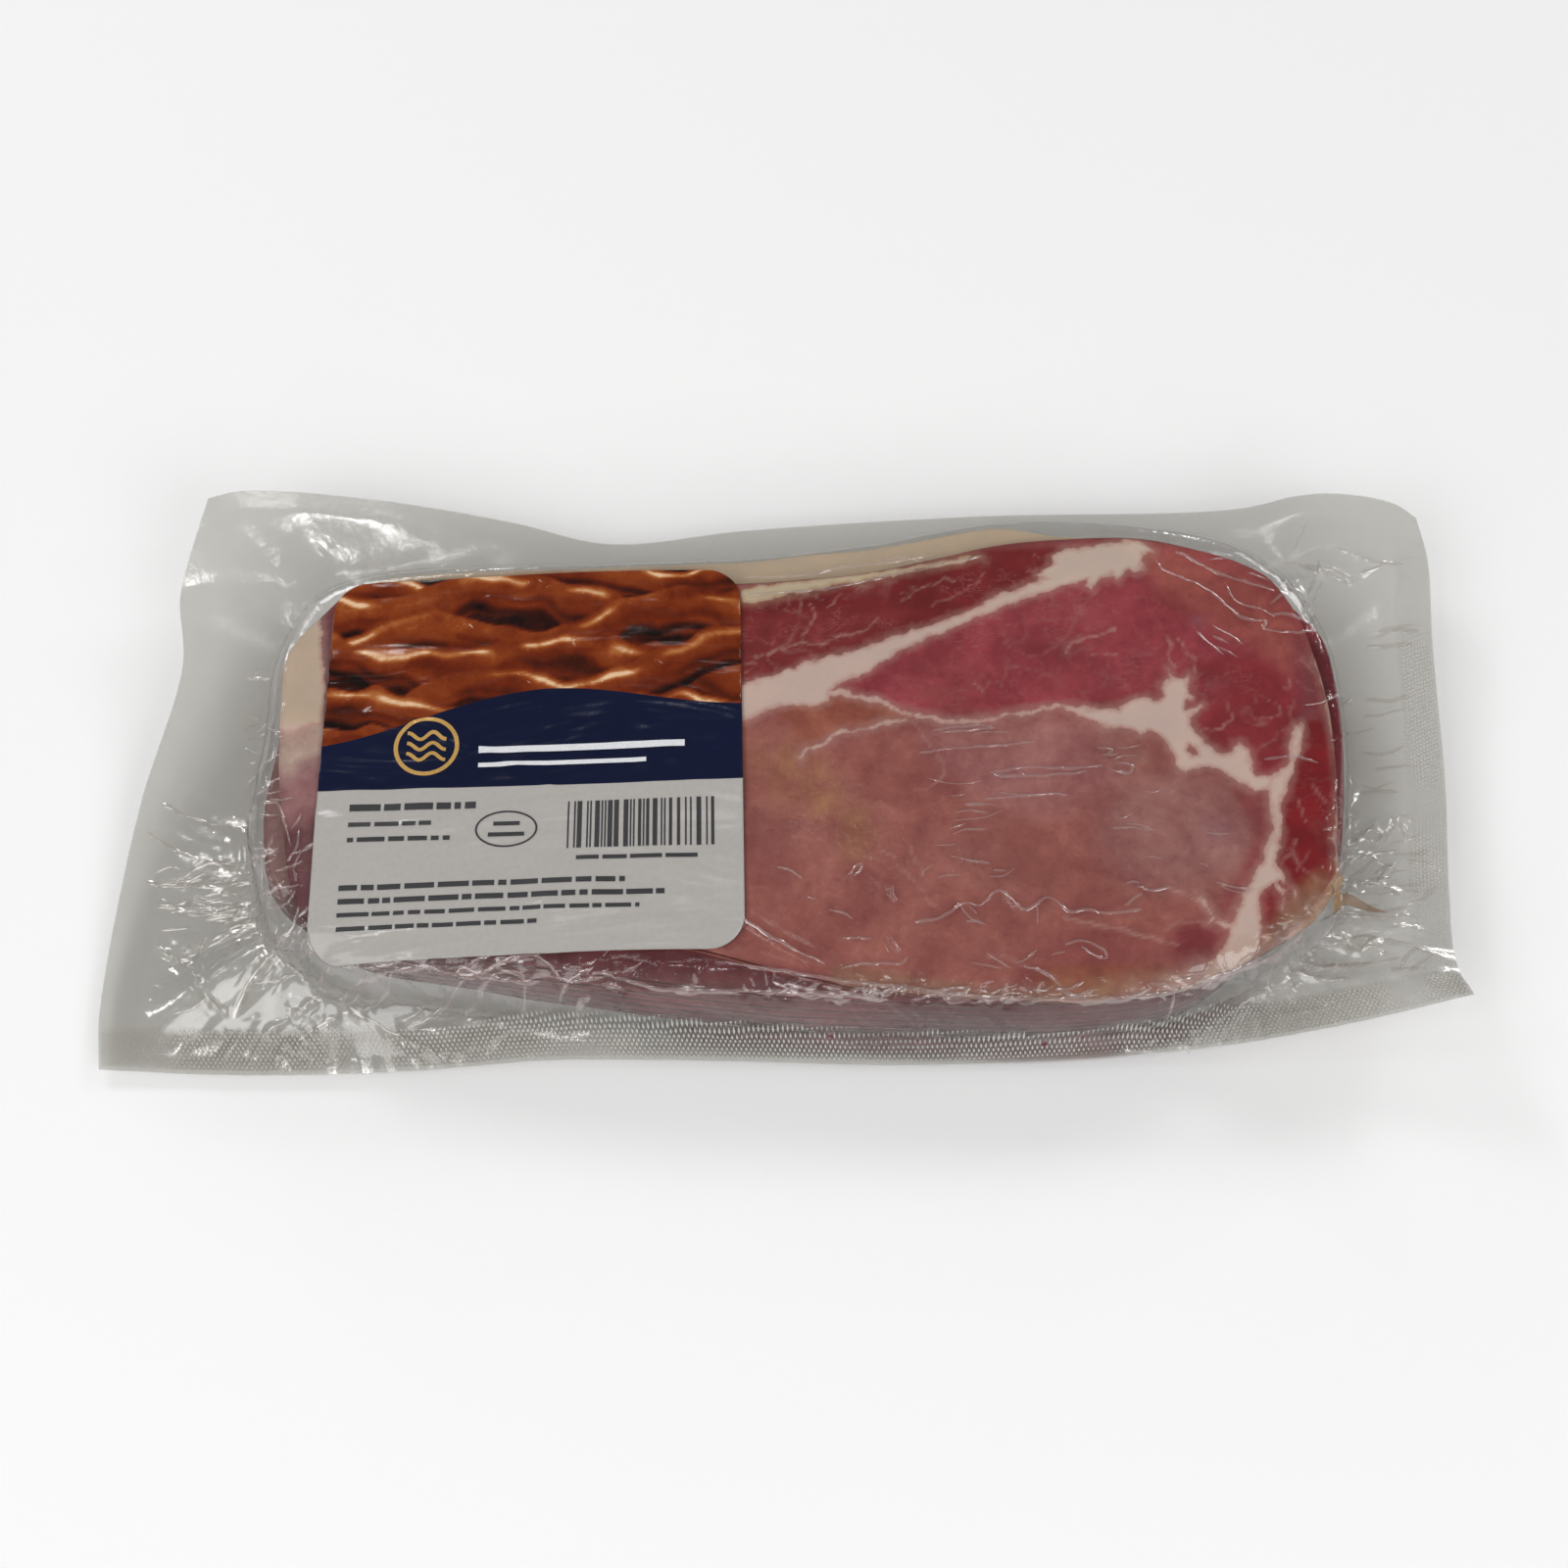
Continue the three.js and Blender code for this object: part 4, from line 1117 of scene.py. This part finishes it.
# Fat is greyish pink, and turns beige or yellow near the rasher's rims.
FAT_TONES = [
    ("c6b1a4", 6, "1050,600 1060,540 1200,540 1200,575 1150,600"),
    ("bfae94", 3, "730,580 1040,540 1050,575 900,600 730,625"),
    ("bba793", 4, "255,600 330,600 330,740 255,760"),
    ("bfa293", 8, "1180,970 1290,960 1290,1020 1180,1020"),
    ("ab8262", 4, "1315,985 1330,915 1350,880 1390,880 1390,960"),
    ("b3968b", 4, "1335,640 1390,640 1390,880 1350,880"),
]
fat_tone = linear("c8afa5")
for colour, fade, pixels in FAT_TONES:
    amount = ramp(inside_by(x, y, picked(pixels)), -fade / 2, fade / 2)
    fat_tone = towards(fat_tone, colour, amount)

rim = rim_distance(u, v, UPPER_LENGTH, UPPER_DEPTH)
FILM_GAP, ROUNDED = 0.32, 1.6  # how far under the film it lies, and how far in its rim is rounded
top = on_film(x, y) - FILM_GAP - 0.9 * (1 - ramp(rim, 0, ROUNDED)) ** 2
top -= 0.12 * np.clip(-fat, 0, 1)  # fat stands a little proud of the muscle
foot = STACK_FOOT + 3 * LAYER_GAP + (face_level(x, y) - UNDER_FACE) * (1 - 1 / LAYERS)
slab("rasher_1", xy, top, np.minimum(foot, top - 0.5 - 1.8 * ramp(rim, 0, ROUNDED)), bacon_look, "bacon",
     fat=fat, tone=tone, fat_tone=fat_tone, vein=vein, streaks=streaks)

# A tail of fat pressed flat in the sheet at the right.
tail_line = spline(picked("1361,914 1369,917 1380,920 1392,925 1404,929 1415,931")[:, :2], 60)
tail_half = np.interp(np.linspace(0, 1, 60), [0, 0.2, 0.5, 0.8, 1], [2.0, 1.9, 1.3, 0.7, 0.1])
tail_side = square_to(np.gradient(tail_line, axis=0))
tail_xy = tail_line[:, None] + tail_side[:, None] * (tail_half[:, None] * np.linspace(-1, 1, 9))[..., None]
tail_top = on_film(tail_xy[..., 0], tail_xy[..., 1]) - 0.15
whole = np.ones(tail_top.shape)
slab("fat_tail", tail_xy, tail_top, tail_top - 0.08, bacon_look, "bacon",
     fat=whole * 2, vein=whole * 0, streaks=whole * 0,
     tone=whole[..., None] * linear("8a6a4c"), fat_tone=whole[..., None] * linear("b08d69"))

# A thin purplish see-through sheet between the webs along the foot of the near wall, which tints the film
# there purple-brown.
PURPLISH_UNDER_FILM, PURPLISH_THICKNESS = 0.26, 0.06
purplish_line = np.linspace(-30, 98, 160)
near_foot = stack_edge[stack_edge[:, 1] < -30]
near_foot = near_foot[np.argsort(near_foot[:, 0])]
purplish_foot = np.interp(purplish_line, near_foot[:, 0], near_foot[:, 1])[:, None]
purplish_out = np.linspace(-4.0, 0.6, 14)
purplish_y = purplish_foot + purplish_out
purplish_x = np.broadcast_to(purplish_line[:, None], purplish_y.shape)
purplish_top = on_film(purplish_x, np.minimum(purplish_y, purplish_foot - 0.5)) - PURPLISH_UNDER_FILM
amount = (ramp(purplish_x, -30, 2) * (1 - ramp(purplish_x, 80, 98)) * ramp(purplish_out, -3.8, -1.8)[None]
          * (0.9 + 0.25 * noise(purplish_x, purplish_y, 7, 401)))
purplish_sheet_look = purplish_sheet_material("purplish_sheet")
slab("purplish_sheet", np.dstack([purplish_x, purplish_y]), purplish_top, purplish_top - PURPLISH_THICKNESS, purplish_sheet_look, "bacon",
     amount=np.clip(amount, 0, 1))

# The label.

COLUMNS, ROWS = 177, 175
PAPER_LIFT, PAPER_THICKNESS, INK_LIFT = 0.42, 0.16, 0.08
half_width, half_depth, radius = LABEL["width"] / 2, LABEL["depth"] / 2, LABEL["radius"]
closer = np.array([0, 1.2, 8])  # the rows lie closer together near the two ends
q_line = np.interp(np.linspace(0, 1, ROWS), [0, 0.04, 0.12, 0.88, 0.96, 1],
                   np.concatenate([closer - half_depth, half_depth - closer[::-1]]))
into = np.clip(np.abs(q_line) - (half_depth - radius), 0, radius)
reach = half_width - radius + np.sqrt(np.maximum(radius ** 2 - into ** 2, 0))
lab_p = np.linspace(-1, 1, COLUMNS)[:, None] * reach
lab_q = np.broadcast_to(q_line[None], lab_p.shape)
lab_x, lab_y = label_place(lab_p, lab_q)
lab_z = blur(on_film(lab_x, lab_y), 3, 3) + PAPER_LIFT
lab_z += 0.22 * noise(lab_x, lab_y, 15, 31) + 0.16 * noise(lab_x, lab_y, 7, 33)

# Its creases: height, half width, and points on its own axes.
LABEL_CREASES = [(0.385, 1.1, "-34,12 -22,8 -8,1 4,-6"), (0.22, 2.2, "-28,24 -20,12 -12,4"),
                 (0.176, 2.6, "-8,26 0,20 8,6"), (0.22, 2.4, "20,10 28,2 34,-4"),
                 (0.22, 1.2, "-10,38 8,36 26,37"), (0.22, 1.6, "-44,-12 -30,-16 -18,-15"),
                 (0.165, 2.2, "-40,-34 -20,-36 10,-35 30,-38")]
for height, half, line in LABEL_CREASES:
    gap, _ = line_distance(lab_p, lab_q, spline(spots(line), 16))
    lab_z += height * np.exp(-(gap / half) ** 2)
lab_z = np.maximum(lab_z, on_film(lab_x, lab_y) + 0.15)


def label_level(p, q):
    """Level of the label at points of its own axes."""
    row, half = np.interp(q, q_line, np.arange(ROWS)), np.interp(q, q_line, reach)
    return lookup(lab_z, (p / half + 1) / 2 * (COLUMNS - 1), row)


# The band's upper edge rises from the left to a crest in the middle, and falls a little to the right.
band_top = 9.5 + 6.5 * np.sin((lab_p + 30) / 21) * np.exp(-((lab_p + 8) / 60) ** 2) + 0.06 * lab_p
band_low = -6.3

# The picture is made of wavy ribbons, one over another.
# Each has its level, the height, length and shift of its waves, its slope and half width.
RIBBONS = [(41, 2.2, 8, 0.5, 0.03, 4.5), (35.5, 3.2, 10, 2.2, -0.06, 5.5), (28, 3.4, 9, 4.4, 0.07, 6.0),
           (21.5, 2.8, 12, 0.6, -0.10, 5.5), (15, 3.0, 8.5, 3.1, 0.14, 5.0), (9, 2.4, 11, 5.2, -0.05, 5.0)]
swell = np.full(lab_p.shape, 0.06)
glow = np.zeros(lab_p.shape)
for k, (level, height, length, shift, slope, half) in enumerate(RIBBONS):
    phase = lab_p / length + shift
    centre = level + height * np.sin(phase) + slope * lab_p
    across = (lab_q - centre) / half / np.sqrt(1 + (height / length * np.cos(phase) + slope) ** 2)
    across += 0.18 * noise(lab_p, lab_q, 5, 50 + k)
    inside = ramp(1 - np.abs(across), 0, 0.12)
    body = 0.16 + 0.42 * ramp(across, -1, 0.5) + 0.10 * noise(lab_p, lab_q * 2, 7, 60 + k)
    body += 0.42 * np.exp(-((across - 0.62) / 0.16) ** 2) * ramp(noise(lab_p, lab_q, 9, 70 + k), -0.5, 0.6)
    body += 0.15 * np.sin(across * 9 + lab_p / 6) * ramp(-across, -0.2, 0.6)
    swell = swell * (1 - inside) + body * inside
    glow = glow * (1 - inside) + np.exp(-((across - 0.5) / 0.3) ** 2) * inside
label_look = label_material("label_paper")
label_piece = slab("label_paper", np.dstack([lab_x, lab_y]), lab_z, lab_z - PAPER_THICKNESS, label_look,
                   "label_paper", warm_area=lab_q - band_low, band_area=band_top - lab_q,
                   swell=np.clip(swell, 0, 1), glow=glow)
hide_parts("label")


def stroke(ink, path, width, lift=INK_LIFT):
    """Adds a printed line that lies on the label to some ink's points and faces."""
    points, faces = ink
    aside = square_to(np.gradient(path, axis=0)) * width / 2
    pairs = np.stack([path - aside, path + aside], 1).reshape(-1, 2)
    first = len(points)
    faces.extend((i, i + 2, i + 3, i + 1) for i in range(first, first + len(pairs) - 2, 2))
    points.extend(np.column_stack([*label_place(*pairs.T), label_level(*pairs.T) + lift]))


def straight(p0, q0, p1, q1, step=0.6):
    count = max(2, int(math.hypot(p1 - p0, q1 - q0) / step) + 1)
    return np.column_stack([np.linspace(p0, p1, count), np.linspace(q0, q1, count)])


def ellipse(p, q, half_long, half_high):
    angle = np.linspace(0, 2 * np.pi, 61)
    return np.column_stack([p + half_long * np.cos(angle), q + half_high * np.sin(angle)])


def words(ink, p, q, width, height):
    """A line of small blocks that stands for a line of print."""
    end = p + width
    while p < end - 0.8:
        length = min(rng.uniform(1.2, 6.5), end - p)
        stroke(ink, straight(p, q, p + length, q), height)
        p += length + rng.uniform(0.6, 0.9)


def printed(name, ink, material):
    add_mesh(name, *ink, material, "label_paper", smooth=False)


dark, gold, pale = ([], []), ([], []), ([], [])
words(dark, -37, -10.4, 26, 1.5)
words(dark, -37, -14.2, 17, 1.0)
words(dark, -37, -17.6, 21, 1.0)
bar = 8.0
while bar < 38:
    width = rng.choice([0.32, 0.32, 0.64, 0.96])
    stroke(dark, straight(bar + width / 2, -20.8, bar + width / 2, -10.2), width)
    bar += width + rng.choice([0.34, 0.34, 0.7, 1.0])
words(dark, 10, -23.0, 26, 0.9)
stroke(dark, ellipse(-4.5, -16, 6.2, 3.9), 0.4)
stroke(dark, straight(-7.2, -14.8, -1.8, -14.8), 0.9)
stroke(dark, straight(-8.2, -17.2, -0.8, -17.2), 0.9)
for row, length in enumerate((58, 66, 61, 42)):
    words(dark, -38, -28.0 - 2.9 * row, length, 1.15 if row < 2 else 0.9)
printed("label_print", dark, ink_material("print", "2b2b2e", 0.5))

# A ring with three waves, and two rules beside it.
stroke(gold, ellipse(-22, 3.4, 6.4, 6.4), 0.9)
for row in (-2.2, 0.2, 2.6):
    span = np.linspace(-4.1, 4.1, 21)
    stroke(gold, np.column_stack([-22 + span, 3.2 + row + 0.8 * np.sin(span * 1.2)]), 0.8)
printed("label_emblem", gold, ink_material("gold_print", "c39a55", 0.35, 0.3))
stroke(pale, straight(-11, 2.2, 32, 2.2), 1.5, 0.15)
stroke(pale, straight(-11, -1.2, 24, -1.2), 1.0, 0.15)
printed("label_rules", pale, ink_material("pale_print", "d6d7da", 0.4))

# Floor and light.

FLOOR_HALF = 9  # in metres
floor_mesh = bpy.data.meshes.new("floor")
floor_mesh.from_pydata([(x * FLOOR_HALF, y * FLOOR_HALF, 0) for x, y in ((-1, -1), (1, -1), (1, 1), (-1, 1))],
                       [], [(0, 1, 2, 3)])
floor_mesh.materials.append(plain_material("floor", (0.92, 0.92, 0.92), 0.9))
floor = bpy.data.objects.new("floor", floor_mesh)
bpy.context.scene.collection.objects.link(floor)

world = bpy.data.worlds.new("studio")
bpy.context.scene.world = world
world.use_nodes = True
world.node_tree.nodes["Background"].inputs[0].default_value = (1.0, 0.995, 0.985, 1)
world.node_tree.nodes["Background"].inputs[1].default_value = 0.18
bpy.context.scene.view_settings.view_transform = "Standard"


def light(name, at, size, power):
    data = bpy.data.lights.new(name, "AREA")
    data.shape = "RECTANGLE"
    data.size, data.size_y = size
    data.energy = power
    lamp = bpy.data.objects.new(name, data)
    bpy.context.scene.collection.objects.link(lamp)
    lamp.location = at
    lamp.rotation_euler = (-Vector(at)).to_track_quat("-Z", "Y").to_euler()


# The direction in which flat film mirrors the camera is left dark, so that the film doesn't veil the meat.
light("left_front", (-0.70, -0.70, 0.84), (0.8, 0.8), 6.9)
light("right_front", (0.75, -0.75, 0.75), (0.7, 0.7), 6.0)
mirror, side_way = np.array([0, math.cos(ELEVATION), math.sin(ELEVATION)]), np.array([1.0, 0, 0])
up_way = np.cross(side_way, mirror)
GLINTS = [(60, 10), (40, 95), (44, 125), (52, 165), (46, 200), (50, 250), (44, 300), (52, 340)]
for k, angles in enumerate(GLINTS):
    away, around = map(math.radians, angles)
    way = side_way * math.cos(around) + up_way * math.sin(around)
    way = mirror * math.cos(away) + way * math.sin(away)
    light(f"glint_{k}", tuple(way * 1.25), (0.06, 0.06), 0.5)
light("low_front_left", (-0.25, -1.1, 0.5), (0.06, 0.06), 0.5)
light("low_front_right", (0.3, -1.05, 0.62), (0.06, 0.06), 0.5)
light("back_left", (-0.6, 0.9, 0.75), (0.3, 0.3), 3.4)
light("back_right", (0.8, 0.9, 0.7), (0.3, 0.3), 2.7)
light("sheen", (-0.12, 0.17, 1.2), (0.3, 0.08), 0.35)
